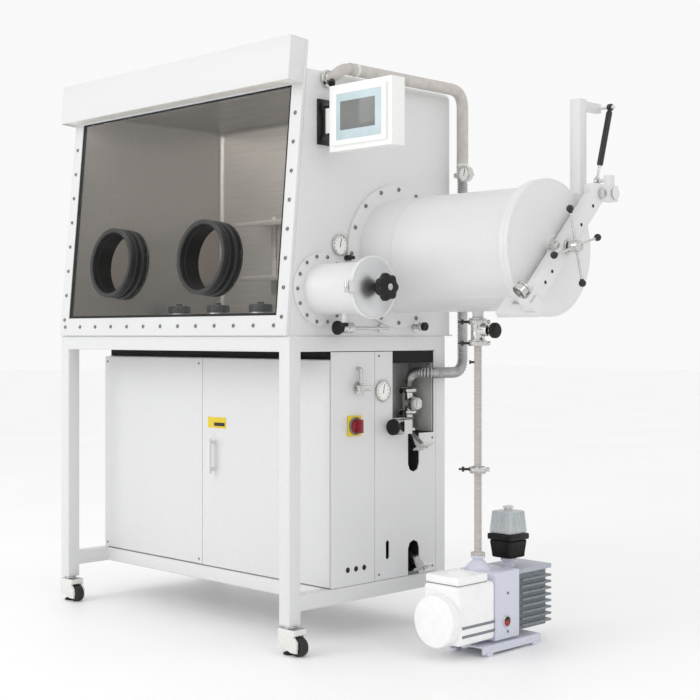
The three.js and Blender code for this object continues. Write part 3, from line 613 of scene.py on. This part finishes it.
def along_beam(x, up, square):
    """A place on the swing beam, which lies at 45 degrees across the door."""
    lie = math.radians(45)
    y = LARGE_AXIS[0] + up * math.cos(lie) - square * math.sin(lie)
    z = LARGE_AXIS[1] + up * math.sin(lie) + square * math.cos(lie)
    return at(x, y, z)


# Thin black discs on the beam's face stand for its four holes: painted shade inside the holes.
for number, (up, square) in enumerate(((-150, 0), (-105, 0), (95, 0), (178, 0)), 1):
    hole_shade_disc = turned(f"beam_hole_shade_{number}", [(0, 0), (5.2, 0), (5.2, 0.7), (0, 0.7)],
                      along_beam(BEAM_FACE - 0.2, up, square), X_WAY, BLACK_RUBBER, 20)
    fit(hole_shade_disc, "swing_arm", "black_rubber")
collar = [(12, 0), (20, 0), (21, 1), (21, 6), (20, 7), (12, 7), (12, 0)]
fit(turned("screw_collar", collar, at(BEAM_FACE, *LARGE_AXIS), X_WAY, BRIGHT_STEEL), "swing_arm")
square_to_beam = along_beam(0, 0, 1) - along_beam(0, 0, 0)
clamp_block = turned("beam_clamp_block", [(0, 0), (17, 0), (17, 12), (11, 14), (11, 20), (0, 21)],
                     along_beam(BEAM_X, -28, 24.3), square_to_beam, BRIGHT_STEEL, 6, 20)
fit(clamp_block, "swing_arm")
catch = [(6, -14), (21, -14), (23, -12), (23, -8), (19, -6), (19, 6), (23, 8), (23, 12), (21, 14), (6, 14), (6, -14)]
catch_at, catch_facing = along_beam(BEAM_X, -226, 44), (0.3, 0.68, 0.68)
fit(turned("catch_roller", catch, catch_at, catch_facing, BRIGHT_STEEL), "swing_arm")
pin = [(0, -17), (5.6, -17), (5.6, 17), (0, 17)]
fit(turned("catch_pin", pin, catch_at, catch_facing, ZINC_PLATE, 20), "swing_arm")

# Gas spring: a black painted cylinder and its hard chromed rod, between two pivots.
spring_top = at(1230, 424, 1664)
spring_foot = at(1230, 353, 1431)
down_spring = (spring_foot - spring_top).normalized()
spring_length = (spring_foot - spring_top).length / MM
# Black stoved paint on the cylinder: smooth and half gloss.
STOVED_BLACK = surface("stoved_black_paint", "#121213", "#1c1c1d", 20, (0.25, 0.35), 0.01)
cylinder = [(0, 8), (7, 8), (7, 14), (9.5, 17), (9.5, 188), (8.5, 191), (5, 192), (4.3, 192), (4.3, 60), (0, 60)]
fit(turned("spring_tube", cylinder, spring_top, down_spring, STOVED_BLACK, 36), "spring_cylinder", "black_plastic",
    "gas_spring_cylinder")
eye = [(5.6, -7), (9.5, -7), (11, -5), (11, 5), (9.5, 7), (5.6, 7), (5.6, -7)]
fit(turned("spring_top_eye", eye, spring_top, X_WAY, STOVED_BLACK, 32), "spring_cylinder", "black_plastic")
rod = [(0, 100), (4, 100), (4, spring_length - 16), (6.5, spring_length - 14), (6.5, spring_length - 9),
       (0, spring_length - 9)]
fit(turned("spring_rod", rod, spring_top, down_spring, BRIGHT_STEEL, 24), "spring_rod", "brushed_stainless",
    "gas_spring_rod")
fit(turned("spring_foot_eye", [(5.2, -7), (9, -7), (10.5, -5), (10.5, 5), (9, 7), (5.2, 7), (5.2, -7)], spring_foot,
           X_WAY, BRIGHT_STEEL, 32), "spring_rod")

# ----------------------------------------------
# Small antechamber: the same tube on a smaller scale. Its spun lid hinges at the front, and a moulded
# star knob pulls it home.
finished("small_antechamber_tube", POWDER_COAT, edge=1.0, angle=32)
finished("small_inner_door", SPUN_ALUMINIUM, edge=1.0)
small_end = at(836.5, *SMALL_AXIS)
fit(boxed("small_door_hinge_leaf", (838, 850), (-338, -306), (1088, 1118), POWDER_COAT, 1.2), "small_door",
    "white_coat")
fit(turned("small_door_hinge_barrel", [(0, -18), (6.5, -18), (7, -17), (7, 17), (6.5, 18), (0, 18)],
           at(844, -335, 1103), Z_WAY, BRIGHT_STEEL, 24), "small_door")
lid = [(0, 0), (92.5, 0), (93.5, 1), (93.5, 7), (92.5, 8.6), (89, 8.8), (87, 8), (84, 9), (50, 13.5), (18, 16.5),
       (14, 17.5), (7, 17.5), (7, 56), (0, 56)]
lid_piece = turned("small_door_lid", lid, small_end, X_WAY, SPUN_ALUMINIUM, 96, 25)
paint(lid_piece, POWDER_COAT, lambda middle, normal:
      math.hypot(middle.y - small_end.y, middle.z - small_end.z) > 89.5 * MM)
fit(lid_piece, "small_door", "brushed_stainless", "small_outer_door")

# Star knob: seven lobes, moulded in black with a fine texture.
KNOB_PLASTIC = surface("knob_polyamide_black", "#0e0e0e", "#1a1a1a", 3, (0.38, 0.55), 0.05,
                       Specular_IOR_Level=0.3)


def star_knob(name, place, facing, reach, thick, lobes, stem, bore):
    """A star knob: a round grip drawn in between its lobes, on a stem with a hole for the screw."""
    sides = lobes * 8
    grip = [(bore, 0), (stem, 0), (stem, 20), (0.7 * reach, 22), (0.94 * reach, 25), (reach, 28),
            (reach, 22 + thick - 6), (0.95 * reach, 22 + thick - 2), (0.82 * reach, 22 + thick), (bore, 22 + thick),
            (bore, 0)]
    piece = turned(name, grip, (0, 0, 0), Z_WAY, KNOB_PLASTIC, sides, 50)
    for vertex in piece.data.vertices:
        around = math.atan2(vertex.co.y, vertex.co.x)
        out = math.hypot(vertex.co.x, vertex.co.y) / MM
        if out > stem + 1:
            share = (out - stem) / (reach - stem)
            pull = 1 - 0.16 * share * (0.5 - 0.5 * math.cos(lobes * around))
            vertex.co.x *= pull
            vertex.co.y *= pull
    stand_on(piece, place, facing)
    return piece


fit(boxed("small_door_yoke", (851, 870), (-238, -206), (1091, 1115), KNOB_PLASTIC, 3), "small_door", "black_plastic")
knob = star_knob("small_door_star", at(860, *SMALL_AXIS), X_WAY, 42, 26, 7, 15, 7.5)
fit(knob, "small_knob", "black_plastic", "small_door_knob")
insert = [(0, 49), (9, 49), (10, 50), (0, 51)]
fit(turned("small_star_insert", insert, at(860, *SMALL_AXIS), X_WAY, BRIGHT_STEEL, 28), "small_knob")

# ----------------------------------------------
# Purge line: a bright hand valve under the small antechamber, its thin pipe bent back into the wall,
# a black cap on the antechamber's stub, and a second valve on the wall behind.
finished("purge_line_valve", BRIGHT_STEEL, edge=0.8)
finished("purge_line_knob", KNOB_PLASTIC, edge=1.6, steps=3)
stub_cap = [(0, 0), (11, 0), (12, 1), (12, 11), (8.4, 12), (0, 12)]
fit(turned("stub_cap", stub_cap, at(720, -222, 988), Z_WAY, KNOB_PLASTIC, 28), "frame", "black_plastic")
wall_valve = turned("wall_valve", [(0, 0), (17, 0), (17, 4), (9, 5), (9, 22), (14, 24), (14, 34), (12, 36), (0, 36)],
                    at(BOX_HALF_X, 209, 991), X_WAY, BRIGHT_STEEL, 32)
fit(wall_valve)
wall_knob = turned("wall_valve_knob", [(0, 36.3), (13, 36.3), (14, 38), (14, 48), (12, 50), (0, 50)],
                   at(BOX_HALF_X, 209, 991), X_WAY, KNOB_PLASTIC, 32)
fit(wall_knob, "frame", "black_plastic")

# ----------------------------------------------
# Vacuum gauges: a bright pressed case, a white dial with printed divisions and a needle under a flat
# glass. One is on the chamber wall and one on the cabinet.
# White enamelled dial: flat and even.
DIAL_ENAMEL = surface("dial_enamel_white", "#f1f0ec", "#f6f5f1", 20, (0.35, 0.45), 0.0)
# Printed marks and the needle: matt black ink and paint.
DIAL_BLACK = surface("dial_black", "#1a1a1a", "#262626", 6, (0.5, 0.6), 0.0)


def join(pieces):
    """Makes one piece of several, which keeps the first one's name."""
    pick(pieces[0])
    for piece in pieces:
        piece.select_set(True)
    bpy.ops.object.join()
    return pieces[0]


def gauge(name, place, radius, thick, needle_turn, spin=0):
    """A dial gauge with its case, dial, divisions and needle: it faces along x, spun about z by an angle."""
    case = [(0, 0), (radius - 2, 0), (radius, 2), (radius, thick - 1.5), (radius - 1.5, thick),
            (radius - 4, thick), (radius - 4, thick - 4), (0, thick - 4)]
    parts = [(turned(f"{name}_case", case, place, X_WAY, BRIGHT_STEEL, 56), "brushed_stainless")]
    dial = [(0, thick - 3.8), (radius - 4.3, thick - 3.8), (radius - 4.3, thick - 3.2), (0, thick - 3.2)]
    parts.append((turned(f"{name}_dial", dial, place, X_WAY, DIAL_ENAMEL, 56), "white_plastic"))
    strokes = [(math.radians(-45 + 27 * step), 0.74 * radius, 0.16 * radius, 1.1) for step in range(11)]
    strokes.append((math.radians(needle_turn), 0.2 * radius, 0.85 * radius, 2.2))
    marks = []
    for turn, reach, long, wide in strokes:
        middle = place + Vector((thick - 2.8, reach * math.cos(turn), reach * math.sin(turn))) * MM
        stroke = block(f"{name}_marks", middle, (0.5 * MM, long * MM, wide * MM), (turn, 0, 0))
        stroke.data.materials.append(DIAL_BLACK)
        marks.append(stroke)
    parts.append((join(marks), "black_plastic"))
    about = Matrix.Translation(place) @ Matrix.Rotation(math.radians(spin), 4, "Z") @ Matrix.Translation(-place)
    for piece, slot in parts:
        piece.data.transform(about)
        fit(piece, "frame", slot)


# The outer face of the cabinet's side panels.
PANEL_FACE = 617
gauge("chamber_gauge", at(BOX_HALF_X, -140, 1243), 33, 9, 78)
gauge("cabinet_gauge", at(PANEL_FACE, 50, 784), 34, 9, 80)
tee = [(0, 0), (9, 0), (9, 20), (6, 22), (6, 34), (0, 34)]
fit(turned("chamber_gauge_tee", tee, at(BOX_HALF_X, -110, 1204), X_WAY, STOVED_BLACK, 24), "frame",
    "black_plastic")

# ----------------------------------------------
# Control panel: a coated steel box on a black bracket that swivels, with a white touch panel in front.
finished("panel_bracket", STOVED_BLACK, edge=1.0)
# Moulded bezel and box: warm white, fine texture.
PANEL_WHITE = surface("panel_white", "#ececea", "#f3f3f1", 4, (0.35, 0.48), 0.03)
finished("control_panel", PANEL_WHITE, edge=1.8, steps=3)
# Printed film round the display: pale blue-grey, smooth.
SCREEN_FILM = surface("screen_film", "#b9cbd0", "#c5d5da", 80, (0.18, 0.28), 0.0)
# Display behind its hard coat: grey, unlit, glossy.
DISPLAY_GLASS = surface("display_glass", "#6f7372", "#7b7c79", 90, (0.08, 0.14), 0.0)
film = boxed("panel_film", (706, 892), (-244.1, -243.05), (1548, 1686), SCREEN_FILM, 0.4)
fit(film, "panel", "white_plastic")
display = boxed("panel_display", (724, 868), (-244.9, -244.15), (1576, 1662), DISPLAY_GLASS, 0.3)
fit(display, "panel", "clear_glazing")
for number, bracket_z in enumerate((1560, 1672), 1):
    fit(button_screw(f"bracket_screw_{number}", at(619, -186, bracket_z), X_WAY, 6))

# ----------------------------------------------
# Gas pipe: copper pipe in a foam sleeve, over the right wall and down the rear corner, with a gland
# where it enters the chamber and a clamp where the hose begins.
# Closed cell foam sleeve: matt grey-beige with soft dents.
FOAM_SLEEVE = surface("foam_sleeve", "#bdb8b3", "#cdc8c3", 26, (0.75, 0.9), 0.5)
PIPE_X, PIPE_Y, PIPE_TOP = 652, 404, 1785
pipe_run = [(PIPE_X, -135, PIPE_TOP), (PIPE_X, PIPE_Y, PIPE_TOP), (PIPE_X, PIPE_Y, 1511)]
sleeve = bar("gas_pipe_sleeve", pipe_run, 19.5, 60, FOAM_SLEEVE, 7)
fit(sleeve, "frame", "pipe_insulation", "gas_pipe")
neck_run = [(620, -196, 1752), (648, -194, 1757), (PIPE_X, -160, 1783), (PIPE_X, -120, PIPE_TOP)]
neck = bar("gas_pipe_neck", neck_run, 17.5, 20, FOAM_SLEEVE, 6)
fit(neck, "frame", "pipe_insulation")
gland = [(0, 0), (26, 0), (27, 1.5), (27, 9), (22, 11), (19, 11), (19, 20), (16, 22), (0, 22)]
fit(turned("gas_pipe_gland", gland, at(BOX_HALF_X, -196, 1752), X_WAY, BRIGHT_STEEL, 36))
fit(turned("gas_pipe_drain", [(0, 0), (8, 0), (8, 14), (11, 15), (11, 24), (0, 24)], at(PIPE_X - 12, -196, 1748),
           (0.4, -0.5, -0.75), STOVED_BLACK, 20), "frame", "black_plastic")
for number, (band_y, band_z, facing) in enumerate(((-112, PIPE_TOP, (0, 1, 0)), (PIPE_Y, 1540, (0, 0, -1))), 1):
    band = [(19.6, 0), (20.8, 0.6), (20.8, 9.4), (19.6, 10), (19.6, 0)]
    fit(turned(f"sleeve_band_{number}", band, at(PIPE_X, band_y, band_z), facing, CASTER_NYLON, 40), "frame",
        "white_plastic")

# ----------------------------------------------
# Circulation hose: corrugated stainless hose from the gas pipe down into the cabinet's valve stack,
# clamped at its top.
# Formed stainless bellows: bright crests and dull valleys.
BELLOWS_STEEL = surface("bellows_stainless", "#a4a4a3", "#b8b8b7", 30, (0.26, 0.36), 0.01, Metallic=1.0)


def corrugated(name, points, bend, pitch, valley, crest, material):
    """A corrugated hose: one corrugation, repeated and bent along the run."""
    fold = [(valley, 0), (crest - 0.5, 0.28 * pitch), (crest, 0.42 * pitch), (crest - 0.5, 0.56 * pitch),
            (valley, 0.84 * pitch), (valley, pitch)]
    piece = turned(name, fold, (0, 0, 0), X_WAY, material, 20, 60)
    run = run_of(points, bend)
    apply(piece, "ARRAY", fit_type="FIT_CURVE", curve=run, use_relative_offset=False, use_constant_offset=True,
          constant_offset_displace=(pitch * MM, 0, 0), use_merge_vertices=True, merge_threshold=0.05 * MM)
    apply(piece, "CURVE", object=run, deform_axis="POS_X")
    bpy.data.objects.remove(run)
    pick(piece)
    bpy.ops.object.mode_set(mode="EDIT")
    bpy.ops.mesh.select_all(action="SELECT")
    bpy.ops.mesh.fill_holes(sides=0)
    bpy.ops.mesh.normals_make_consistent(inside=False)
    bpy.ops.object.mode_set(mode="OBJECT")
    return piece


STACK_X, STACK_Y = 548, 246
hose_run = [(PIPE_X, PIPE_Y, 1492), (PIPE_X, PIPE_Y, 838), (PIPE_X, STACK_Y, 838), (STACK_X, STACK_Y, 838),
            (STACK_X, STACK_Y, 790)]
bellows = corrugated("circulation_bellows", hose_run, 48, 8.5, 15.2, 18.5, BELLOWS_STEEL)
fit(bellows, "frame", "brushed_stainless", "circulation_hose")
clamp = [(17, 0), (26, 0), (30, 3), (30, 15), (26, 18), (17, 18), (17, 0)]
fit(turned("hose_clamp", clamp, at(PIPE_X, PIPE_Y, 1491.7), Z_WAY, BRIGHT_STEEL))
gauge("pipe_gauge", at(702, 372, 1499), 27, 22, 80, -90)
stem = bar("pipe_gauge_stem", [(678, 404, 1500.7), (702, 404, 1500.7), (702, 371, 1499)], 6, 12, BRIGHT_STEEL)
fit(stem)


def wing_clamp(name, place, sideways, radius):
    """A vacuum clamp: a two-part ring about a pipe, with a hinge lug, a screw and a wing nut."""
    ring = [(radius - 9, -8), (radius - 3, -8), (radius, -4), (radius, 4), (radius - 3, 8), (radius - 9, 8),
            (radius - 9, -8)]
    fit(turned(f"{name}_ring", ring, place, Z_WAY, BRIGHT_STEEL))
    side = Vector(sideways).normalized()
    stud = [(0, 0), (4, 0), (4, 16), (8, 17), (8, 24), (3, 25), (3, 34), (0, 34)]
    fit(turned(f"{name}_stud", stud, place + side * (radius - 4) * MM, side, STOVED_BLACK, 20), "frame",
        "black_plastic")
    lug = [(0, 0), (7, 0), (7, 9), (5, 11), (0, 11)]
    fit(turned(f"{name}_lug", lug, place - side * (radius - 4) * MM, -side, BRIGHT_STEEL, 20))


# ----------------------------------------------
# Pump line: an angle valve clamped under the large antechamber, and a long pipe down to the pump in
# one straight run, with a clamp half way.
finished("pump_line_valve", BRIGHT_STEEL, edge=0.8)
finished("pump_line_knob", KNOB_PLASTIC, edge=1.6, steps=3)
# Plastic sleeve on the pipe: warm grey with faint ribs that run round it.
PIPE_SLEEVE = surface("pipe_sleeve_warm_grey", "#aea7a2", "#c4bdb8", 30, (0.5, 0.65), 0.3, stretch=(1, 1, 6))
finished("pump_line", PIPE_SLEEVE, edge=0.8)
LINE_X, LINE_Y = 957, 118
LINE_SIDE = (-0.75, -0.66, 0)
for number, clamp_z in enumerate((1003, 938), 1):
    wing_clamp(f"valve_clamp_{number}", at(LINE_X, LINE_Y, clamp_z), LINE_SIDE, 31)
wing_clamp("line_clamp", at(LINE_X, LINE_Y, 552), LINE_SIDE, 29)
fit(turned("line_bleed_screw", [(0, 0), (3.5, 0), (3.5, 10), (6, 11), (6, 16), (0, 16)],
           at(LINE_X - 8, LINE_Y - 7, 880), LINE_SIDE, STOVED_BLACK, 20), "frame", "black_plastic")

# ----------------------------------------------
# Purifier cabinet: a folded steel shell with two front panels and two side panels, coated white and
# screwed on. Inside, the shell is painted a mid grey as shade, and holds two purifier columns, the blower and the
# control unit.
# A dull mid grey. On the cabinet's inside and its right side faces it is painted shade; the switch ring and the
# motor's terminal gasket are this grey too.
MID_GREY_AND_PAINTED_SHADE = surface("mid_grey_and_painted_shade", "#6f7071", "#7c7d7e", 40, (0.6, 0.75), 0.02)
shell = finished("cabinet_shell", POWDER_COAT, edge=1.2)
shaded_inside_low, shaded_inside_high = at(-594, -164, 177), at(613.2, 304, 885)
# The cabinet's inside faces, and its right side faces that show in the recess and over the side panels, take the mid
# grey as painted shade.
paint(shell, MID_GREY_AND_PAINTED_SHADE, lambda middle, normal: all(
    shaded_inside_low[i] < middle[i] < shaded_inside_high[i] for i in range(3)) and abs(middle.y - shaded_inside_low.y) > 3 * MM
    or normal.x > 0.9 and middle.x > shaded_inside_high.x - 2 * MM)
finished("cabinet_left_panel", POWDER_COAT, edge=2.2, steps=3)
finished("cabinet_door", POWDER_COAT, edge=1.6)
finished("side_panel_front", POWDER_COAT, edge=0)
finished("side_panel_rear", POWDER_COAT, edge=0)
# A dull black strip with an open-celled grain on the cabinet's roof, in the gap under the stand's rail: painted shade
# for the dark gap.
PAINTED_SHADE_BLACK = surface("painted_shade_black", "#0f0f0f", "#1b1b1b", 4, (0.85, 0.95), 0.3)
shade_strip = boxed("cabinet_top_shade_strip", (-588, 612), (-156, 303), (886.4, 911), PAINTED_SHADE_BLACK, 1)
fit(shade_strip, "frame", "black_rubber")
# Recess: grey lining plates at its back and its rear side, and a black strip over its top edge as painted shade.
LINING_GREY = surface("lining_grey", "#b4b4b2", "#c2c2c0", 30, (0.5, 0.6), 0.02)
fit(boxed("recess_lining", (508, 612), (292, 296.5), (642, 884), LINING_GREY, 0.8), "frame", "white_coat")
fit(boxed("recess_back", (504, 508), (104, 296), (642, 884), LINING_GREY, 0.8), "frame", "white_coat")
fit(boxed("recess_top_shade_strip", (613.6, 615), (98, 296), (872, 911), PAINTED_SHADE_BLACK, 0.4), "frame", "black_rubber")
fit(boxed("recess_terminal", (596, 616), (104, 138), (648, 660), PANEL_WHITE, 1.5), "frame", "white_plastic")
finished("purifier_column_left", SPUN_ALUMINIUM, edge=1.5)
finished("purifier_column_right", SPUN_ALUMINIUM, edge=1.5)

panel_corners = [(-575, 196), (-575, 866), (-34, 196), (-34, 866)]
screws("panel_screw", [at(x, -180, z) for x, z in panel_corners], (0, -1, 0), 4)
side_corners = [(34, 196), (34, 896), (290, 622), (290, 196)]
screws("side_screw", [at(PANEL_FACE, y, z) for y, z in side_corners], X_WAY, 4)
rear_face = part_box("cabinet_shell")[1][1] / MM
rear_screws = [(x, z) for x in (-575, 10, 596) for z in (196, 530, 866)]
screws("rear_screw", [at(x, rear_face, z) for x, z in rear_screws], (0, 1, 0), 4)
for number, lamp_y in enumerate((-106, -69.5, -33), 1):
    lamp = [(0, 0), (8.6, 0), (8.6, 3.6), (7, 5.2), (0, 6)]
    fit(turned(f"indicator_{number}", lamp, at(613.4, lamp_y, 228), X_WAY, STOVED_BLACK, 28), "frame",
        "black_plastic")
# Yellow printed plate with a plain black bar: smooth film.
YELLOW_FILM = surface("yellow_film", "#dcc01c", "#e6cc2a", 30, (0.3, 0.4), 0.0)
plate = boxed("door_plate", (16, 112), (-181.2, -180.1), (649, 686), YELLOW_FILM, 0.5)
fit(plate, "cabinet_door", "white_plastic")
plate_bar = boxed("door_plate_bar", (50, 106), (-181.7, -181.0), (656, 668), DIAL_BLACK, 0.3)
fit(plate_bar, "cabinet_door", "black_plastic")
blower = turned("circulation_blower", [(0, 0), (70, 0), (78, 6), (78, 70), (70, 78), (40, 80), (40, 120), (0, 122)],
                at(160, 150, 182), Z_WAY, STOVED_BLACK, 48)
fit(blower, "frame", "black_plastic")
control_unit = boxed("control_unit", (-560, -320), (-60, 30), (300, 640), CASTER_NYLON, 6, 3)
fit(control_unit, "frame", "white_plastic")

# ----------------------------------------------
# Cabinet controls: the main switch on its yellow plate, a purge valve with a wing handle, and the
# stack of clamped valves in the recess.
# Dark red moulded switch knob: half gloss.
RED_KNOB = surface("switch_red", "#7c1622", "#8f1d2a", 8, (0.25, 0.35), 0.01)
finished("main_switch_knob", RED_KNOB, edge=2.0, steps=3)
fit(boxed("switch_plate", (617.2, 623.8), (-110, -50), (646, 710), YELLOW_FILM, 2), "frame", "white_plastic")
fit(turned("switch_ring", [(23.6, 6.6), (27, 6.6), (28, 8), (28, 12), (26, 13), (23.6, 13), (23.6, 6.6)],
           at(617.2, -80, 678), X_WAY, MID_GREY_AND_PAINTED_SHADE, 40), "frame", "black_plastic")
valve_body = [(0, 0), (19, 0), (20, 1), (20, 8), (11, 9), (11, 22), (15, 24), (15, 32), (0, 33)]
fit(turned("purge_valve_body", valve_body, at(PANEL_FACE, -64, 797), X_WAY, BRIGHT_STEEL, 36))
wing = boxed("purge_valve_wing", (644, 656), (-96, -36), (788, 806), BRIGHT_STEEL, 4, 4)
fit(wing)
fit(bar("purge_valve_pipe", [(634, -64, 806), (634, -64, 858), (618, -64, 858)], 6, 10, BRIGHT_STEEL))

finished("valve_stack", BRIGHT_STEEL, edge=0.9)
finished("stack_star_knob", KNOB_PLASTIC, edge=1.4)
for number, clamp_z in enumerate((779, 707), 1):
    wing_clamp(f"stack_clamp_{number}", at(STACK_X, STACK_Y, clamp_z), (0.3, -0.95, 0), 34)
stack_knob = turned("stack_knob_cap", [(0, 30), (16, 30), (20, 33), (20, 44), (16, 50), (0, 52)],
                    at(STACK_X, STACK_Y, 735), X_WAY, PANEL_WHITE, 36)
fit(stack_knob, "frame", "white_plastic")

# ----------------------------------------------
# Foot pedals: pressed stainless levers that stand out through two arched slots.
for pedal_name in ("foot_pedal_lower", "foot_pedal_upper"):
    finished(pedal_name, BRIGHT_STEEL, edge=1.2)

# ----------------------------------------------
# Rotary vane pump: a white enamelled motor with its end cap and terminal cover, a lilac-grey centre
# body with a sight glass, a finned oil case, and a base plate with turned-down edges.
# Motor enamel: glossy white over a smooth casting.
MOTOR_ENAMEL = surface("motor_enamel_white", "#f0f0f1", "#f6f6f6", 30, (0.2, 0.3), 0.03)
# Hammered lilac-grey paint on the centre casting.
LILAC_PAINT = surface("casting_paint_lilac", "#c9cbda", "#d6d8e4", 5, (0.35, 0.45), 0.06)
# Grey paint on the finned case, a little dusty between the fins.
FIN_PAINT = surface("fin_paint_grey", "#70767c", "#878d93", 9, (0.45, 0.6), 0.08)
PUMP_X = 965
motor = boxed("motor_housing", (PUMP_X - 71, PUMP_X + 71), (-64, 106), (46, 223), MOTOR_ENAMEL, 14, 5)
fit(motor, "frame", "white_coat", "pump_motor")
cap_arc = [(78 - 7 + 7 * math.sin(math.radians(a)), 7 - 7 * math.cos(math.radians(a))) for a in range(0, 91, 15)]
end_cap = [(0, -1.5), (40, -1.2), *cap_arc, (78, 33), (76.5, 34), (0, 34)]
fit(turned("motor_end_cap", end_cap, at(PUMP_X, -98.4, 118), (0, 1, 0), MOTOR_ENAMEL, 96, 40), "frame",
    "white_coat")
cover = boxed("terminal_cover", (PUMP_X - 66, PUMP_X + 66), (-60, 78), (223.6, 249), MOTOR_ENAMEL, 7, 4)
fit(cover, "frame", "white_coat")
fit(boxed("terminal_gasket", (PUMP_X - 62, PUMP_X + 62), (-56, 74), (222, 225), MID_GREY_AND_PAINTED_SHADE, 0.5), "frame",
    "black_rubber")
# Grey strips at the motor's two grooves, along both its sides: painted shade for the grooves' dark lines.
for number, groove_z in enumerate((70, 96), 1):
    for side, groove_x in (("left", PUMP_X - 72.5), ("right", PUMP_X + 66.5)):
        groove_shade_strip = boxed(f"motor_groove_shade_{number}_{side}", (groove_x, groove_x + 6), (-50, 102), (groove_z, groove_z + 9), FIN_PAINT, 2)
        fit(groove_shade_strip, "frame", "grey_casting")
finished("pump_body", LILAC_PAINT, edge=1.6)
# Paler grey paint on the case's top plate.
PLATE_PAINT = surface("plate_paint_grey", "#a3a7b1", "#b3b7c0", 9, (0.4, 0.55), 0.05)
oil_case = finished("pump_oil_case", FIN_PAINT, edge=1.0)
paint(oil_case, PLATE_PAINT, lambda middle, normal: middle.z > 227.5 * MM)
# Sight glass: oil behind a domed window, dark above and red below.
SIGHT_GLASS = surface("sight_glass_red", "#7a1512", "#b22c24", 8, (0.08, 0.15), 0.0)
PUMP_SIDE = PUMP_X + 70
glass_middle = at(PUMP_SIDE, 160, 92)
ring = [(15, 0), (19, 0), (19, 2), (17.5, 3.2), (15, 3.2), (15, 0)]
fit(turned("sight_ring", ring, glass_middle, X_WAY, BRIGHT_STEEL))
dome = [(0, 0.2), (14.8, 0.2), (14.8, 1.8), (11, 2.2), (7, 2.6), (0, 3)]
window = turned("sight_window", dome, glass_middle, X_WAY, SIGHT_GLASS)
paint(window, DIAL_BLACK, lambda middle, normal: middle.z > glass_middle.z + 2.5 * MM)
fit(window, "frame", "red_plastic")
screws("body_screw", [at(PUMP_SIDE, 166, z) for z in (177, 60)], X_WAY, 4.5)

# Oil mist filter: a black ribbed bowl on a short neck under a clear ribbed cover.
FILTER_X, FILTER_Y = 970, 250
# Clear polycarbonate with the filter's pale cloth behind it.
CLEAR_COVER = surface("polycarbonate_clear", "#b9c0c4", "#d9dde0", 10, (0.08, 0.18), 0.05, stretch=(4, 4, 0.3),
                      Alpha=0.72)
# Glass-filled polyamide bowl: black, with fine ribs.
BOWL_PLASTIC = surface("bowl_polyamide_black", "#0b0b0b", "#161616", 4, (0.3, 0.42), 0.05,
                       Specular_IOR_Level=0.25)


def tapered(name, half_low, half_high, z, corner, material, rib, ribs):
    """A square tub that tapers, with rounded corners and upright ribs round its sides."""
    tall, middle = z[1] - z[0], at(FILTER_X, FILTER_Y, sum(z) / 2)
    piece = block(name, (0, 0, 0), (2 * half_low * MM, 2 * half_low * MM, tall * MM))
    for edge in piece.data.edges:
        one, other = ends(piece, edge)
        edge.select = abs(one.z - other.z) > MM
    bpy.ops.object.mode_set(mode="EDIT")
    bpy.ops.mesh.select_mode(type="EDGE")
    bpy.ops.mesh.bevel(offset=corner * MM, segments=4, affect="EDGES")
    bpy.ops.mesh.select_all(action="DESELECT")
    bpy.ops.object.mode_set(mode="OBJECT")
    for vertex in piece.data.vertices:
        vertex.select = vertex.co.z > 0
    bpy.ops.object.mode_set(mode="EDIT")
    bpy.ops.mesh.select_mode(type="VERT")
    bpy.ops.transform.resize(value=(half_high / half_low, half_high / half_low, 1))
    bpy.ops.object.mode_set(mode="OBJECT")
    piece.location = middle
    bpy.ops.object.transform_apply(location=True, rotation=True, scale=True)
    ease(piece, 2, 3, 50)
    piece.data.materials.append(material)
    parts = [piece]
    lean = -math.atan((half_low - half_high) / tall)
    for side in range(4):
        for step in range(ribs):
            offset = (step - (ribs - 1) / 2) * (2 * min(half_low, half_high) - 2 * corner) / (ribs - 1)
            fin = block(f"{name}_fin", (offset * MM, -(half_low + half_high) / 2 * MM, 0),
                        (rib * MM, rib * MM, (tall - 6) * MM), (lean, 0, 0))
            fin.rotation_euler = (0, 0, math.radians(90 * side))
            fin.location = middle
            bpy.ops.object.transform_apply(location=True, rotation=True, scale=True)
            fin.data.materials.append(material)
            parts.append(fin)
    return join(parts)


bowl = tapered("filter_bowl", 38, 43, (270, 327), 8, BOWL_PLASTIC, 2.2, 7)
fit(bowl, "frame", "black_plastic", "exhaust_filter_bowl")
fit(boxed("filter_flange", (FILTER_X - 47, FILTER_X + 47), (FILTER_Y - 47, FILTER_Y + 47), (326, 345), BOWL_PLASTIC,
          4, 4), "frame", "black_plastic")
neck_profile = [(0, 0), (22, 0), (22, 7), (17, 9), (17, 16), (24, 18), (24, 25), (15, 28), (0, 28)]
fit(turned("filter_neck", neck_profile, at(FILTER_X, FILTER_Y, 242), Z_WAY, LILAC_PAINT, 40), "frame",
    "pale_casting")
clear_cover = tapered("filter_cover", 43.5, 38, (345.4, 416), 8, CLEAR_COVER, 2.4, 8)
fit(clear_cover, "frame", "clear_glazing", "exhaust_filter_cover")
cap_profile = [(0, 0), (12, 0), (12, 6), (17, 8), (17, 12), (12, 15), (0, 15)]
fit(turned("filter_cap", cap_profile, at(FILTER_X, FILTER_Y, 416), Z_WAY, BRIGHT_STEEL, 32))
